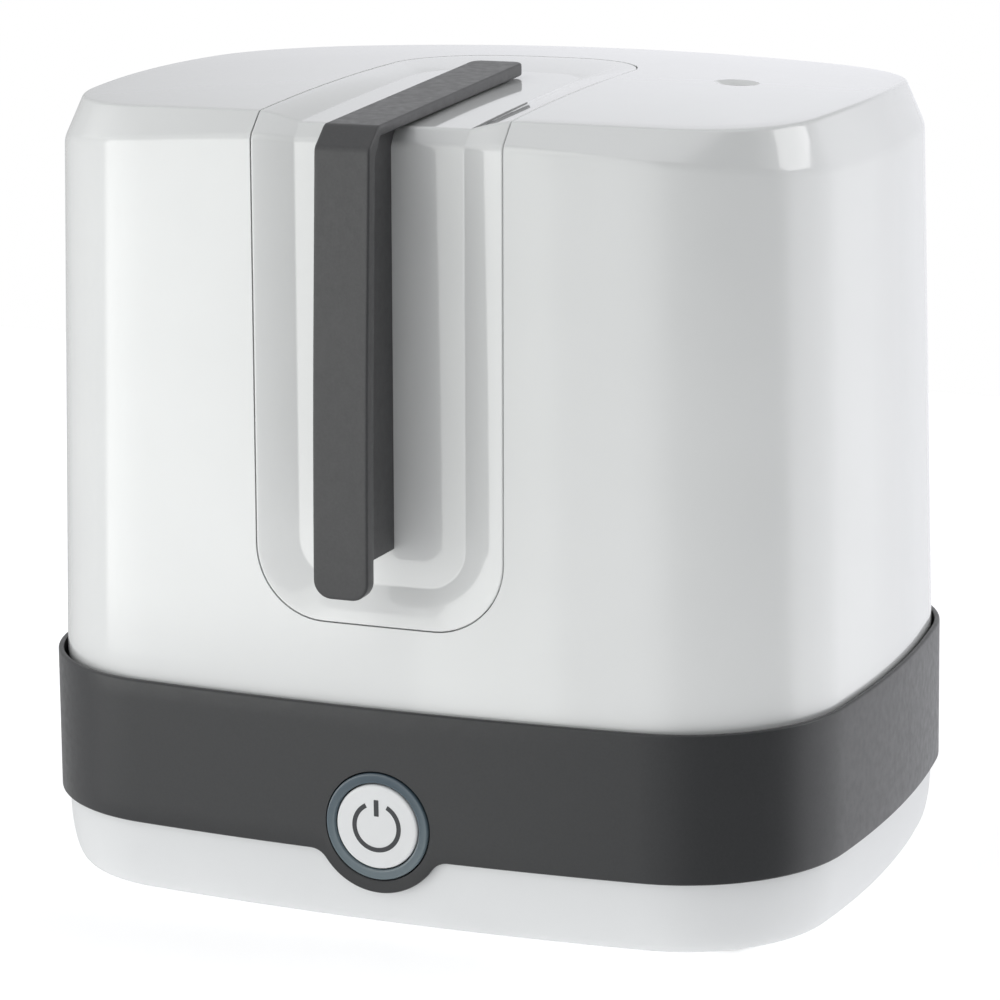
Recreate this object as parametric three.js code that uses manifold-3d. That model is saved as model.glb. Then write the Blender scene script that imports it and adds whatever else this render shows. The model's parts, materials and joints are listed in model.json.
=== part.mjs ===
// Electric steam steriliser for six feeding bottles.
// Millimetres, +Z up, front towards -Y. The origin is the bottom centre of the bounding box.
import * as THREE from 'three';
import { mergeVertices } from 'three/addons/utils/BufferGeometryUtils.js';
import Module from 'manifold-3d';

const wasm = await Module();
wasm.setup();

// ---------------------------------------------------------------- driving dimensions

const gap = 0.35; // running clearance between neighbouring pieces
const screwRadius = 1.2; // thread of every small screw
const pilotRadius = 1.55; // hole that a screw stands in

const band = {
  halfWidth: 145,
  halfDepth: 109.5,
  frontBow: 10.3, // how far the front and back bulge past the corners
  sideBow: 13,
  cornerRadius: 57.5,
  bottom: 25,
  top: 75,
  flare: 0.4, // the lower edge stands this much further out
  wall: 1.7,
};

const button = {
  z: 35.3,
  capRadius: 14.4,
  ringInner: 14.8,
  ringOuter: 18.2,
  front: -110.4,
  ringFront: -110.3,
  surround: 23, // radius of the band's round bulge about the button
  fillet: 7,
};

const hood = {
  bottom: 58.1,
  wall: 2.5,
  footInset: 2.5, // set in from the band's outline, at the bottom edge
  rimInset: 2.35, // and at the height of the band's top edge
  draft: 4.15, // further inset at the lower crease
  lowerCrease: 257.5,
  creaseFallX: 9.9, // the lower crease drops towards the sides
  creaseRiseY: 3.4,
  cornerRadius: 58.5,
  topInset: 6.3, // chamfer, from the lower crease to the upper one
  topBow: 19.4,
  topSideBow: 12.4,
  topCornerRadius: 45.5,
  top: 270.4,
  crownX: 5.3, // the top falls by this much to the sides and to the front
  crownY: 4.1,
  mitre: 0.42, // how far an inner crease moves for each unit of skin
};

const panel = {
  halfWidth: 43.5,
  bottom: 102.3,
  back: 45,
  cornerRadius: 24,
  rearRadius: 32,
  floorHalfWidth: 29.5,
  floorBottom: 115.5,
  floorBack: 12,
  floorRadius: 14,
  trough: 3.4,
  floorRise: 1.4, // how much shallower the trough is at its rear end
  thickness: 6.5,
  flange: 5, // how far the flange reaches behind the hood's wall
  flangeGap: 0.8,
  flangeWall: 2,
  rimInside: 3, // how far the flange's root reaches inside the panel's edge
  seam: 0.35,
};

const handle = {
  halfWidth: 9.5,
  webHalfWidth: 4.75,
  endRadius: 6,
  bottom: 118,
  webBottom: 128,
  back: 2,
};

const base = {
  inset: 2.26,
  curveIn: 4.7,
  curveUp: 20.9,
  wall: 2.5,
  top: 55,
  bottomInset: 29.3,
  ledgeInset: 33,
  footDrop: 1.6,
};

const deck = {
  flangeBottom: 55.3,
  step: 57.8,
  lipTop: 66,
  lipWall: 2,
  floorTop: 52.5,
  floorBottom: 50,
  holeRadius: 60,
};
const heater = {
  flangeRadius: 66.5,
  dishRadius: 57.5,
  bottom: 45.5,
  elementRadius: 38,
  elementBar: 3.3,
  studCircle: 47,
};
const bottle = { spacingX: 76, spacingY: 88, neckRadius: 16 };
const basket = { inset: 10, skirtBottom: 58.15, skirtWall: 2, plateBottom: 60, plateTop: 62.4 };
const divider = { bottom: 62.7, top: 92, halfWall: 1, reachX: 112, reachY: 78, hubRadius: 7.5 };
const tray = { bottom: 224.3, floor: 226.3, rimTop: 254, inset: 22, wall: 2, postRadius: 5 };
const vent = { x: 85, y: 5, dishRadius: 7.5, holeRadius: 4.2 };
const foot = { x: 109.5, y: 77.5, radius: 8 };
const coverScrew = { x: 92, y: 58, bossRadius: 4 };
const bushing = { x: -70, z: 14 };

// The handle stands out in front, so the body's centre lies behind the origin.
const handleFront = -134.6;
const bodyShift = -(handleFront + band.halfDepth + band.flare) / 2;

// ---------------------------------------------------------------- materials

const finish = (colour, roughness, metalness = 0) =>
  new THREE.MeshStandardMaterial({ color: colour, roughness, metalness, flatShading: true });

const white = finish(0xeceeee, 0.18);
const greySatin = finish(0x56585a, 0.42);
const greyBand = finish(0x4c4e51, 0.48);
const ringTint = finish(0x5d7280, 0.25);
const steel = finish(0xb9bcc0, 0.3, 1);
const aluminium = finish(0xa9adb2, 0.4, 1);
const rubber = finish(0x2a2a2c, 0.85);
const silicone = finish(0xb8b9b6, 0.7);
const boardGreen = finish(0x1f5a38, 0.55);
const blackPlastic = finish(0x1d1e20, 0.5);
const bluePlastic = finish(0x2b5d94, 0.45);
const clearLens = finish(0xd9e6ef, 0.2);
const greyPlastic = finish(0xa4a8ac, 0.5);
const whiteSheath = finish(0xd6d3c8, 0.6);

// ---------------------------------------------------------------- solids

function flipped(indices) {
  const swapped = indices.slice();
  for (let i = 0; i < swapped.length; i += 3) {
    [swapped[i + 1], swapped[i + 2]] = [swapped[i + 2], swapped[i + 1]];
  }
  return swapped;
}

/** A closed three.js geometry as a solid, with its faces turned outwards. */
function solid(geometry) {
  const bare = geometry.clone();
  bare.deleteAttribute('normal');
  bare.deleteAttribute('uv');
  const merged = mergeVertices(bare, 1e-4);
  const vertProperties = new Float32Array(merged.attributes.position.array);
  const indices = Uint32Array.from(merged.index.array);
  const build = (triVerts) => new wasm.Manifold(new wasm.Mesh({ numProp: 3, vertProperties, triVerts }));
  const made = build(indices);
  return made.volume() > 0 ? made : build(flipped(indices));
}

function geometryOf(manifold) {
  const mesh = manifold.getMesh();
  const geometry = new THREE.BufferGeometry();
  geometry.setAttribute('position', new THREE.BufferAttribute(new Float32Array(mesh.vertProperties), 3));
  geometry.setIndex(new THREE.BufferAttribute(new Uint32Array(mesh.triVerts), 1));
  geometry.computeVertexNormals();
  return geometry;
}

const joined = (first, ...others) => others.reduce((sum, next) => sum.add(next), first);
const cut = (first, ...others) => others.reduce((rest, next) => rest.subtract(next), first);

function box(x0, x1, y0, y1, z0, z1) {
  const geometry = new THREE.BoxGeometry(x1 - x0, y1 - y0, z1 - z0);
  geometry.translate((x0 + x1) / 2, (y0 + y1) / 2, (z0 + z1) / 2);
  return solid(geometry);
}

/** Turns a geometry made along +Z so that it lies along the named axis. */
function alongAxis(geometry, axis) {
  if (axis === 'y') geometry.rotateX(-Math.PI / 2);
  if (axis === 'x') geometry.rotateY(Math.PI / 2);
  return geometry;
}

/** A solid of revolution about Z, from [radius, z] pairs that start and end on the axis. */
function turned(profile, segments = 24, axis = 'z') {
  const geometry = new THREE.LatheGeometry(profile.map(([r, z]) => new THREE.Vector2(r, z)), segments);
  geometry.rotateX(Math.PI / 2);
  return solid(alongAxis(geometry, axis));
}

function rod(axis, radius, low, high, centre, segments = 16) {
  const [x, y, z] = centre;
  return turned([[0, low], [radius, low], [radius, high], [0, high]], segments, axis).translate([x, y, z]);
}

function tube(axis, outer, inner, low, high, centre, segments = 24) {
  return cut(
    rod(axis, outer, low, high, centre, segments),
    rod(axis, inner, low - 1, high + 1, centre, segments),
  );
}

/** A pan-head screw: its head lies below `seat` and its thread points along +axis. */
function screw(axis, seat, length, centre, direction = 1) {
  const headRadius = 2.6;
  const headHeight = 1.3;
  const profile = [[0, -headHeight], [headRadius, -headHeight], [headRadius, 0], [screwRadius, 0]];
  profile.push([screwRadius, length], [0, length]);
  const placed = profile.map(([r, z]) => [r, seat + direction * z]);
  const [x, y, z] = centre;
  return turned(direction > 0 ? placed : placed.reverse(), 8, axis).translate([x, y, z]);
}

/** A flat outline of [u, v] points, extruded along y or z between two levels. */
function prism(points, axis, low, high) {
  const shape = new THREE.Shape(points.map(([u, v]) => new THREE.Vector2(u, v)));
  const geometry = new THREE.ExtrudeGeometry(shape, { depth: high - low, bevelEnabled: false });
  geometry.translate(0, 0, low);
  if (axis === 'y') {
    geometry.rotateX(Math.PI / 2);
    geometry.scale(1, -1, 1);
  }
  if (axis === 'x') {
    geometry.rotateY(Math.PI / 2);
    geometry.rotateX(Math.PI / 2);
  }
  return solid(geometry);
}

function arc(cx, cy, radius, from, to, steps) {
  return Array.from({ length: steps + 1 }, (_, i) => {
    const angle = from + ((to - from) * i) / steps;
    return [cx + radius * Math.cos(angle), cy + radius * Math.sin(angle)];
  });
}

/** A round bar along a smooth route through [x, y, z] points. */
function swept(points, radius, steps) {
  const route = new THREE.CatmullRomCurve3(points.map((p) => new THREE.Vector3(...p)), false, 'centripetal');
  const circle = arc(0, 0, radius, 0, 2 * Math.PI, 8).slice(0, -1);
  const section = new THREE.Shape(circle.map(([u, v]) => new THREE.Vector2(u, v)));
  return solid(new THREE.ExtrudeGeometry(section, { extrudePath: route, steps, bevelEnabled: false }));
}

// ---------------------------------------------------------------- bowed rectangular outlines

/** Rectangle with bowed sides and round corners that touch both bows, as [x, y] points. */
function pillow({ a, b, frontBow, sideBow, corner }, cornerSteps = 5, sideSteps = 2) {
  const frontRadius = (a * a + frontBow * frontBow) / (2 * frontBow);
  const sideRadius = (b * b + sideBow * sideBow) / (2 * sideBow);
  const frontCentre = b - frontRadius;
  const sideCentre = a - sideRadius;
  // The corner's centre lies where both inner arcs cross: found by halving the span in x.
  let low = 0;
  let high = a;
  const heightOnFront = (x) => frontCentre + Math.sqrt((frontRadius - corner) ** 2 - x * x);
  const heightOnSide = (x) => Math.sqrt(Math.max((sideRadius - corner) ** 2 - (x - sideCentre) ** 2, 0));
  for (let i = 0; i < 60; i += 1) {
    const middle = (low + high) / 2;
    if (heightOnSide(middle) > heightOnFront(middle)) low = middle;
    else high = middle;
  }
  const cx = low;
  const cy = heightOnFront(low);
  const fromSide = Math.atan2(cy, cx - sideCentre);
  const toFront = Math.atan2(cy - frontCentre, cx);
  const quarter = [
    ...arc(sideCentre, 0, sideRadius, 0, fromSide, sideSteps).slice(0, -1),
    ...arc(cx, cy, corner, fromSide, toFront, cornerSteps),
    ...arc(0, frontCentre, frontRadius, toFront, Math.PI / 2, sideSteps).slice(1, -1),
  ];
  const top = [0, b];
  const right = quarter.slice(1);
  const upperLeft = [...right].reverse().map(([x, y]) => [-x, y]);
  const half = [quarter[0], ...right, top, ...upperLeft];
  const lower = half.map(([x, y]) => [-x, -y]);
  return [...half, ...lower];
}

function bandOutline(inset) {
  return pillow({
    a: band.halfWidth - inset,
    b: band.halfDepth - inset,
    frontBow: band.frontBow,
    sideBow: band.sideBow,
    corner: band.cornerRadius - inset,
  });
}

/** The hood's outline, set in from the band's; `skin` is how much of that lies under its surface. */
function hoodOutline(inset, skin) {
  return pillow({
    a: band.halfWidth - inset - skin,
    b: band.halfDepth - inset - skin,
    frontBow: band.frontBow,
    sideBow: band.sideBow,
    corner: hood.cornerRadius - skin,
  });
}

function hoodTopOutline(inset, skin) {
  return pillow({
    a: band.halfWidth - inset - skin,
    b: band.halfDepth - inset - skin,
    frontBow: hood.topBow,
    sideBow: hood.topSideBow,
    corner: hood.topCornerRadius - skin,
  });
}

/** Joins rings of equal length by quads, and closes the two ends with fans or with each other. */
function loft(rings, ring = false) {
  const count = rings[0].length;
  const positions = rings.flat(2);
  const indices = [];
  const quads = ring ? rings.length : rings.length - 1;
  for (let level = 0; level < quads; level += 1) {
    const lower = level * count;
    const upper = ((level + 1) % rings.length) * count;
    for (let i = 0; i < count; i += 1) {
      const j = (i + 1) % count;
      indices.push(lower + i, lower + j, upper + j, lower + i, upper + j, upper + i);
    }
  }
  if (!ring) {
    const fan = (level, turn) => {
      const first = level * count;
      const centre = positions.length / 3;
      const sum = rings[level].reduce((s, p) => [s[0] + p[0], s[1] + p[1], s[2] + p[2]], [0, 0, 0]);
      positions.push(...sum.map((v) => v / count));
      for (let i = 0; i < count; i += 1) {
        const j = (i + 1) % count;
        indices.push(...(turn ? [centre, first + j, first + i] : [centre, first + i, first + j]));
      }
    };
    fan(0, true);
    fan(rings.length - 1, false);
  }
  const geometry = new THREE.BufferGeometry();
  geometry.setAttribute('position', new THREE.Float32BufferAttribute(positions, 3));
  geometry.setIndex(indices);
  return solid(geometry);
}

const flat = (outline, z) => outline.map(([x, y]) => [x, y, z]);
const levels = (profile, outline) => profile.map(([inset, z]) => flat(outline(inset), z));

// ---------------------------------------------------------------- hood surfaces

function crown(x, y) {
  return hood.top - hood.crownX * (x / band.halfWidth) ** 2 - hood.crownY * (y / band.halfDepth) ** 2;
}

function lowerCrease(x, y) {
  return (
    hood.lowerCrease -
    hood.creaseFallX * (x / band.halfWidth) ** 2 +
    hood.creaseRiseY * (y / band.halfDepth) ** 2
  );
}

/** The hood's block, with its skin moved inwards by `skin`. */
function hoodBlock(skin, bottom) {
  const creaseInset = hood.rimInset + hood.draft;
  const top = hoodTopOutline(creaseInset + hood.topInset, skin * hood.mitre);
  const shrink = (scale) => top.map(([x, y]) => [x * scale, y * scale, crown(x * scale, y * scale) - skin]);
  return loft([
    flat(hoodOutline(hood.footInset, skin), bottom),
    flat(hoodOutline(hood.rimInset, skin), band.top),
    hoodOutline(creaseInset, skin).map(([x, y]) => [x, y, lowerCrease(x, y) - skin * hood.mitre]),
    shrink(1),
    shrink(0.7),
    shrink(0.35),
  ]);
}

/** Where the hood's front skin lies at height z, and the two creases, in the plane at x. */
function frontPath(x) {
  const bowed = (inset, bow) => {
    const a = band.halfWidth - inset;
    const radius = (a * a + bow * bow) / (2 * bow);
    return -(band.halfDepth - inset) + radius - Math.sqrt(radius * radius - x * x);
  };
  const creaseInset = hood.rimInset + hood.draft;
  const creaseY = bowed(creaseInset, band.frontBow);
  const creaseZ = lowerCrease(x, creaseY);
  const rimY = bowed(hood.rimInset, band.frontBow);
  const topY = bowed(creaseInset + hood.topInset, hood.topBow);
  const wallY = (z) => rimY + ((creaseY - rimY) * (z - band.top)) / (creaseZ - band.top);
  return { wallY, creaseY, creaseZ, topY, topZ: crown(x, topY) };
}

/** How deep the trough is, from 0 at the panel's edge to 1 on its floor. */
function troughShare(x, run, floorStart, floorEnd, end) {
  const inside = (halfWidth, start, stop, radius) => {
    const middle = (start + stop) / 2;
    const dx = Math.abs(x) - (halfWidth - radius);
    const ds = Math.abs(run - middle) - ((stop - start) / 2 - radius);
    const outside = Math.hypot(Math.max(dx, 0), Math.max(ds, 0));
    return radius - outside - Math.min(Math.max(dx, ds), 0);
  };
  const edgeRadius = run > end / 2 ? panel.rearRadius : panel.cornerRadius;
  const toEdge = Math.max(inside(panel.halfWidth, 0, end, edgeRadius), 0);
  const toFloor = Math.max(-inside(panel.floorHalfWidth, floorStart, floorEnd, panel.floorRadius), 0);
  return toEdge / (toEdge + toFloor + 1e-9);
}

/** A strip up the hood's front and back over its top, between two depths below the skin. */
function strip(outerDepth, innerDepth, halfWidth, columns, reach = 0) {
  const middle = frontPath(0);
  const frontRun = middle.creaseZ - panel.bottom;
  const chamferRun = Math.hypot(middle.topY - middle.creaseY, middle.topZ - middle.creaseZ);
  const end = frontRun + chamferRun + (panel.back - middle.topY);
  const floorStart = panel.floorBottom - panel.bottom;
  const floorEnd = end - (panel.back - panel.floorBack);
  const fractions = (from, to, steps) =>
    Array.from({ length: steps }, (_, i) => from + ((to - from) * i) / steps);
  const startRun = -4 - reach;
  const runs = [
    ...fractions(startRun, 0, 1),
    ...fractions(0, floorStart, 5),
    ...fractions(floorStart, frontRun, 1),
    ...fractions(frontRun, frontRun + chamferRun, 1),
    ...fractions(frontRun + chamferRun, floorEnd, 3),
    ...fractions(floorEnd, end, 3),
    end,
    end + 4 + reach,
  ];
  const sections = runs.map((run) => {
    const skin = (x, depth) => {
      const path = frontPath(x);
      const tilt = Math.atan2(path.topY - path.creaseY, path.topZ - path.creaseZ);
      if (run <= frontRun) {
        const share = run / frontRun;
        const z = panel.bottom + share * (path.creaseZ - depth * Math.tan(tilt / 2) - panel.bottom);
        return [x, path.wallY(z) + depth, z];
      }
      const lean = Math.tan((Math.PI / 2 - tilt) / 2);
      const topY = path.topY + depth * lean;
      const share = (run - frontRun - chamferRun) / (end - frontRun - chamferRun);
      const y = topY + Math.max(share, 0) * (panel.back - topY);
      return [x, y, crown(x, y) - depth];
    };
    const across = columns.map((share) => share * halfWidth);
    const outer = across.map((x) => skin(x, outerDepth(x, run, floorStart, floorEnd, end)));
    const inner = [...across].reverse().map((x) => skin(x, innerDepth));
    return [...outer, ...inner];
  });
  return loft(sections);
}

const troughColumns = [-1.03, -0.99, -0.89, -0.78, -0.678, 0, 0.678, 0.78, 0.89, 0.99, 1.03];
const plainColumns = [-1.3, -0.65, 0, 0.65, 1.3];

/** The window that the panel fills, cut square through the hood's front and top. */
function panelWindow(grow) {
  const w = panel.halfWidth + grow;
  const r = panel.cornerRadius + grow;
  const bottom = panel.bottom - grow;
  const back = panel.back + grow;
  const rear = panel.rearRadius + grow;
  const aboveTop = hood.top + 30;
  const frontPoints = [
    ...arc(-w + r, bottom + r, r, Math.PI, 1.5 * Math.PI, 4),
    ...arc(w - r, bottom + r, r, 1.5 * Math.PI, 2 * Math.PI, 4),
    [w, aboveTop],
    [-w, aboveTop],
  ];
  const topPoints = [
    [-w, -150],
    [w, -150],
    ...arc(w - rear, back - rear, rear, 0, 0.5 * Math.PI, 5),
    ...arc(-w + rear, back - rear, rear, 0.5 * Math.PI, Math.PI, 5),
  ];
  return prism(frontPoints, 'y', -150, -60).add(prism(topPoints, 'z', 240, aboveTop));
}

/** The trough's depth below the skin; over the top its floor rises towards the rear. */
function troughDepth(x, run, floorStart, floorEnd, end) {
  const along = (run - (end - panel.back + frontPath(0).topY)) / (panel.floorBack - frontPath(0).topY);
  const rise = panel.floorRise * Math.min(Math.max(along, 0), 1) ** 2;
  return (panel.trough - rise) * troughShare(x, run, floorStart, floorEnd, end);
}

// ---------------------------------------------------------------- hood pieces

function hoodShell() {
  const shell = cut(hoodBlock(0, hood.bottom), hoodBlock(hood.wall, hood.bottom - 5));
  const ventTop = crown(vent.x, vent.y);
  const dish = turned(
    [[0, ventTop - 4], [vent.holeRadius, ventTop - 4], [vent.holeRadius, ventTop - 1.5],
      [vent.dishRadius, ventTop + 0.05], [vent.dishRadius, ventTop + 4], [0, ventTop + 4]],
    24,
  ).translate([vent.x, vent.y, 0]);
  return cut(shell, panelWindow(panel.seam), dish);
}

/** The two ends of the grip's upper face over the hood's top, as [y, z]. */
const gripCorner = [-119.3, 267.3];
const gripBack = [handle.back, 273.2];

function plateTop(y) {
  const share = (y - gripCorner[0]) / (gripBack[0] - gripCorner[0]);
  return gripCorner[1] + share * (gripBack[1] - gripCorner[1]);
}

/** Screws that hold the grip from inside: two through the panel's front, two through its top. */
const handleScrews = [
  ...[150, 225].map((z) => ({
    axis: 'y',
    direction: -1,
    seat: frontPath(0).wallY(z) + panel.thickness + gap,
    length: 13,
    centre: [0, 0, z],
  })),
  ...[-62, -16].map((y) => {
    const seat = crown(0, y) - panel.thickness - gap;
    return { axis: 'z', direction: 1, seat, length: plateTop(y) - 1.4 - seat, centre: [0, y, 0] };
  }),
];

function pilot({ axis, direction, seat, length, centre }) {
  const ends = [seat - direction, seat + direction * (length + 0.4)].sort((a, b) => a - b);
  return rod(axis, pilotRadius, ends[0], ends[1], centre, 12);
}

const handleScrew = ({ axis, direction, seat, length, centre }) =>
  screw(axis, seat, length, centre, direction);

function handlePanel() {
  const face = strip(troughDepth, panel.thickness, panel.halfWidth, troughColumns);
  const plug = face.intersect(panelWindow(0));
  const behind = hood.wall + panel.flangeGap;
  const flange = strip(() => behind, behind + panel.flangeWall, panel.halfWidth, plainColumns, panel.flange);
  const rim = cut(flange.intersect(panelWindow(panel.flange)), panelWindow(-panel.rimInside));
  const whole = plug.add(rim);
  return cut(whole, ...handleScrews.map(pilot));
}

/** The grip's side view: a plate up the front and back over the top, as [y, z] points. */
const plateProfile = [
  [handleFront, handle.bottom],
  [handleFront, 125],
  [-132.5, 178],
  [-127, 260.8],
  gripCorner,
  gripBack,
  [handle.back, 268.9],
  [-89, 265.3],
  [-112, 264.3],
  [-118.8, 263.8],
  [-121.5, 261],
  [-122.7, 257],
  [-127.3, 178],
  [-129.3, 125],
  [-129.3, handle.bottom],
];

const webProfile = [
  [-130, handle.webBottom],
  [-128, 178],
  [-124, 257],
  [-114, 265],
  [-96, 266],
  [handle.back - 8, 270.6],
  [handle.back - 8, 262],
  [-92, 258],
  [-92, handle.webBottom],
];

function handleGrip() {
  const w = handle.halfWidth;
  const turn = handle.endRadius;
  const plate = prism(plateProfile, 'x', -w, w);
  const web = prism(webProfile, 'x', -handle.webHalfWidth, handle.webHalfWidth);
  const roundEnd = prism(
    [...arc(-w + turn, handle.bottom + turn, turn, Math.PI, 1.5 * Math.PI, 5),
      ...arc(w - turn, handle.bottom + turn, turn, 1.5 * Math.PI, 2 * Math.PI, 5),
      [w, 300], [-w, 300]],
    'y', -160, 20,
  );
  const corner = 4;
  const roundBack = prism(
    [[-w, -160], [w, -160],
      ...arc(w - corner, handle.back - corner, corner, 0, 0.5 * Math.PI, 3),
      ...arc(-w + corner, handle.back - corner, corner, 0.5 * Math.PI, Math.PI, 3)],
    'z', 100, 300,
  );
  const shaped = plate.add(web).intersect(roundEnd).intersect(roundBack);
  const clearance = strip((...place) => troughDepth(...place) - gap, 14, panel.halfWidth, troughColumns);
  return cut(shaped, clearance, ...handleScrews.map(pilot));
}

// ---------------------------------------------------------------- base pieces

function buttonHole(radius) {
  return rod('y', radius, -130, -80, [0, 0, button.z], 28);
}

/** The band, with a round bulge about the button below its lower edge. */
function baseBand() {
  const lowest = 8;
  const flare = (band.flare * (band.top - lowest)) / (band.top - band.bottom);
  const profile = [
    [-flare, lowest],
    [0, band.top],
    [band.wall, band.top],
    [band.wall - flare, lowest],
  ];
  const full = loft(levels(profile, bandOutline), true);
  const r = button.surround;
  const f = button.fillet;
  const drop = button.z - band.bottom;
  const filletX = Math.sqrt((r + f) ** 2 - (drop + f) ** 2);
  const touch = Math.atan2(-(drop + f), filletX);
  const outline = [
    ...arc(-filletX, band.bottom - f, f, Math.PI / 2, -touch, 4),
    ...arc(0, button.z, r, Math.PI - touch - 2 * Math.PI, touch, 16).slice(1, -1),
    ...arc(filletX, band.bottom - f, f, Math.PI + touch, Math.PI / 2, 4),
    [filletX, band.top + 1],
    [-filletX, band.top + 1],
  ];
  const keep = joined(
    box(-160, 160, -130, 130, band.bottom, band.top + 1),
    prism(outline, 'y', -130, -80),
  );
  return cut(full.intersect(keep), buttonHole(button.ringOuter + gap));
}

function baseShell() {
  const curve = [0.4, 0.75].map((share) => {
    const angle = (share * Math.PI) / 2;
    return [base.inset + base.curveIn * (1 - Math.sin(angle)), base.curveUp * (1 - Math.cos(angle))];
  });
  const profile = [
    [base.bottomInset, 0],
    [base.inset + base.curveIn, 0],
    ...curve,
    [base.inset, base.curveUp],
    [base.inset, base.top],
    [base.inset + base.wall, base.top],
    [base.inset + base.wall, 22],
    [9.4, 5.6],
    [base.ledgeInset, 5.6],
    [base.ledgeInset, 3.1],
    [base.bottomInset, 3.1],
  ];
  const shell = loft(levels(profile, bandOutline), true);
  const pockets = corners(foot).map(([x, y]) => rod('z', foot.radius + gap, -1, 1.2, [x, y, 0], 16));
  const inlet = rod('y', 4.9, 80, 130, [bushing.x, 0, bushing.z], 16);
  return cut(shell, buttonHole(button.ringOuter + 0.8), inlet, ...pockets);
}

function corners({ x, y }) {
  return [[-x, -y], [x, -y], [x, y], [-x, y]];
}

const powerBoard = { x0: -35, x1: 35, y0: 28, y1: 70, bottom: 9, top: 10.6, screwX: 30, screwY: 49 };

function bottomCover() {
  const inset = base.bottomInset + gap;
  const plate = loft(levels([[inset, 0.4], [inset, 2.8]], bandOutline));
  const posts = [-1, 1].map((side) =>
    rod('z', 3, 2.6, powerBoard.bottom - gap, [side * powerBoard.screwX, powerBoard.screwY, 0], 12));
  const pilots = [-1, 1].map((side) =>
    rod('z', pilotRadius, 3.5, 20, [side * powerBoard.screwX, powerBoard.screwY, 0], 12));
  const screwHoles = corners(coverScrew).map(([x, y]) => rod('z', 1.8, -2, 6, [x, y, 0], 8));
  const slots = [-2, -1, 0, 1, 2].map((i) => box(i * 14 - 2, i * 14 + 2, -62, -28, -2, 6));
  return cut(joined(plate, ...posts), ...pilots, ...screwHoles, ...slots);
}

/** The deck that the hood stands on: a lip that turns drips inwards, and a sloping basin. */
function baseDeck() {
  const underside = [
    [22, deck.floorBottom], [16, deck.flangeBottom], [2.45, deck.flangeBottom], [2.45, deck.step],
  ];
  const basin = [[14, deck.step], [20, deck.floorTop]];
  const lipOuter = hoodOutline(hood.footInset, hood.wall + gap);
  const lipInner = hoodOutline(hood.footInset, hood.wall + gap + deck.lipWall);
  const tub = loft([
    ...levels(underside, bandOutline),
    flat(lipOuter, deck.step),
    flat(lipOuter, deck.lipTop),
    flat(lipInner, deck.lipTop),
    flat(lipInner, deck.step),
    ...levels(basin, bandOutline),
  ]);
  const bosses = corners(coverScrew).map(([x, y]) =>
    rod('z', coverScrew.bossRadius, 3.15, 51, [x, y, 0], 10));
  const pilots = corners(coverScrew).map(([x, y]) => rod('z', pilotRadius, -2, 14, [x, y, 0], 8));
  const opening = rod('z', deck.holeRadius, 40, 60, [0, 0, 0], 28);
  return cut(joined(tub, ...bosses), opening, ...pilots);
}

const rubberFoot = ([x, y]) => rod('z', foot.radius, -base.footDrop, 0.85, [x, y, 0], 16);
const coverFixing = ([x, y]) => screw('z', 0.1, 11, [x, y, 0]);

function cordBushing() {
  const profile = [
    [3.4, 98], [4.5, 98], [4.5, 105.7], [6.5, 105.7], [6.5, 107], [5.6, 108], [3.4, 108], [3.4, 98],
  ];
  return turned(profile, 16, 'y').translate([bushing.x, 0, bushing.z]);
}

// ---------------------------------------------------------------- heater

function around(count, radius, phase = 0) {
  return Array.from({ length: count }, (_, i) => {
    const angle = phase + (2 * Math.PI * i) / count;
    return [radius * Math.cos(angle), radius * Math.sin(angle)];
  });
}

const studPlaces = around(3, heater.studCircle, Math.PI / 2);

function heaterPlate() {
  const low = heater.bottom;
  const dish = turned([
    [0, low], [53, low], [heater.dishRadius, 50], [heater.dishRadius, 54.3], [heater.flangeRadius, 54.3],
    [heater.flangeRadius, 55.3], [56.5, 55.3], [56.5, 50.4], [52.6, low + 1], [0, low + 1],
  ], 28);
  const studs = studPlaces.map(([x, y]) => rod('z', 1.8, 33.2, low + 0.5, [x, y, 0], 12));
  return joined(dish, ...studs);
}

const heaterGasket = () => tube('z', 65.8, 60.3, deck.floorTop + 0.3, 54, [0, 0, 0], 28);

/** The tubular element: an open ring with both ends turned down to their terminals. */
function heatingElement() {
  const level = 41.5;
  const halfOpening = 0.35;
  const ringAngles = [-Math.PI / 2 + halfOpening, 1.5 * Math.PI - halfOpening];
  const ring = arc(0, 0, heater.elementRadius, ...ringAngles, 22).map(([x, y]) => [x, y, level]);
  const [startX, startY] = ring[0];
  const [endX, endY] = ring[ring.length - 1];
  const route = [
    [startX - 3, startY - 2, 30],
    [startX - 2, startY - 1.5, 37],
    ...ring,
    [endX + 2, endY - 1.5, 37],
    [endX + 3, endY - 2, 30],
  ];
  return swept(route, heater.elementBar, 32);
}

function heaterBracket() {
  const disc = rod('z', 51, 36.5, 37.7, [0, 0, 0], 24);
  const studHoles = studPlaces.map(([x, y]) => rod('z', 2.2, 30, 40, [x, y, 0], 12));
  const terminalSlot = box(-20, 20, -60, -28, 30, 40);
  return cut(disc, rod('z', 12, 30, 40, [0, 0, 0], 24), terminalSlot, ...studHoles);
}

const bracketNut = ([x, y]) => tube('z', 3.6, 2.15, 33.4, 36.15, [x, y, 0], 6);

function thermostat() {
  const can = turned([
    [0, 38.5], [7.6, 38.5], [7.6, 42.6], [9.2, 42.6], [9.2, 43.4], [7, 43.4], [7, 45.1], [0, 45.1],
  ], 20);
  const tabs = [-4, 4].map((x) => box(x - 0.4, x + 0.4, -2.4, 2.4, 31, 39));
  return joined(can, ...tabs);
}

function thermalFuse() {
  const y = 22;
  return joined(
    rod('x', 2, -6, 6, [0, y, 41.5], 12),
    rod('x', 0.6, -15, 15, [0, y, 41.5], 8),
  );
}

// ---------------------------------------------------------------- button and boards

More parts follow.
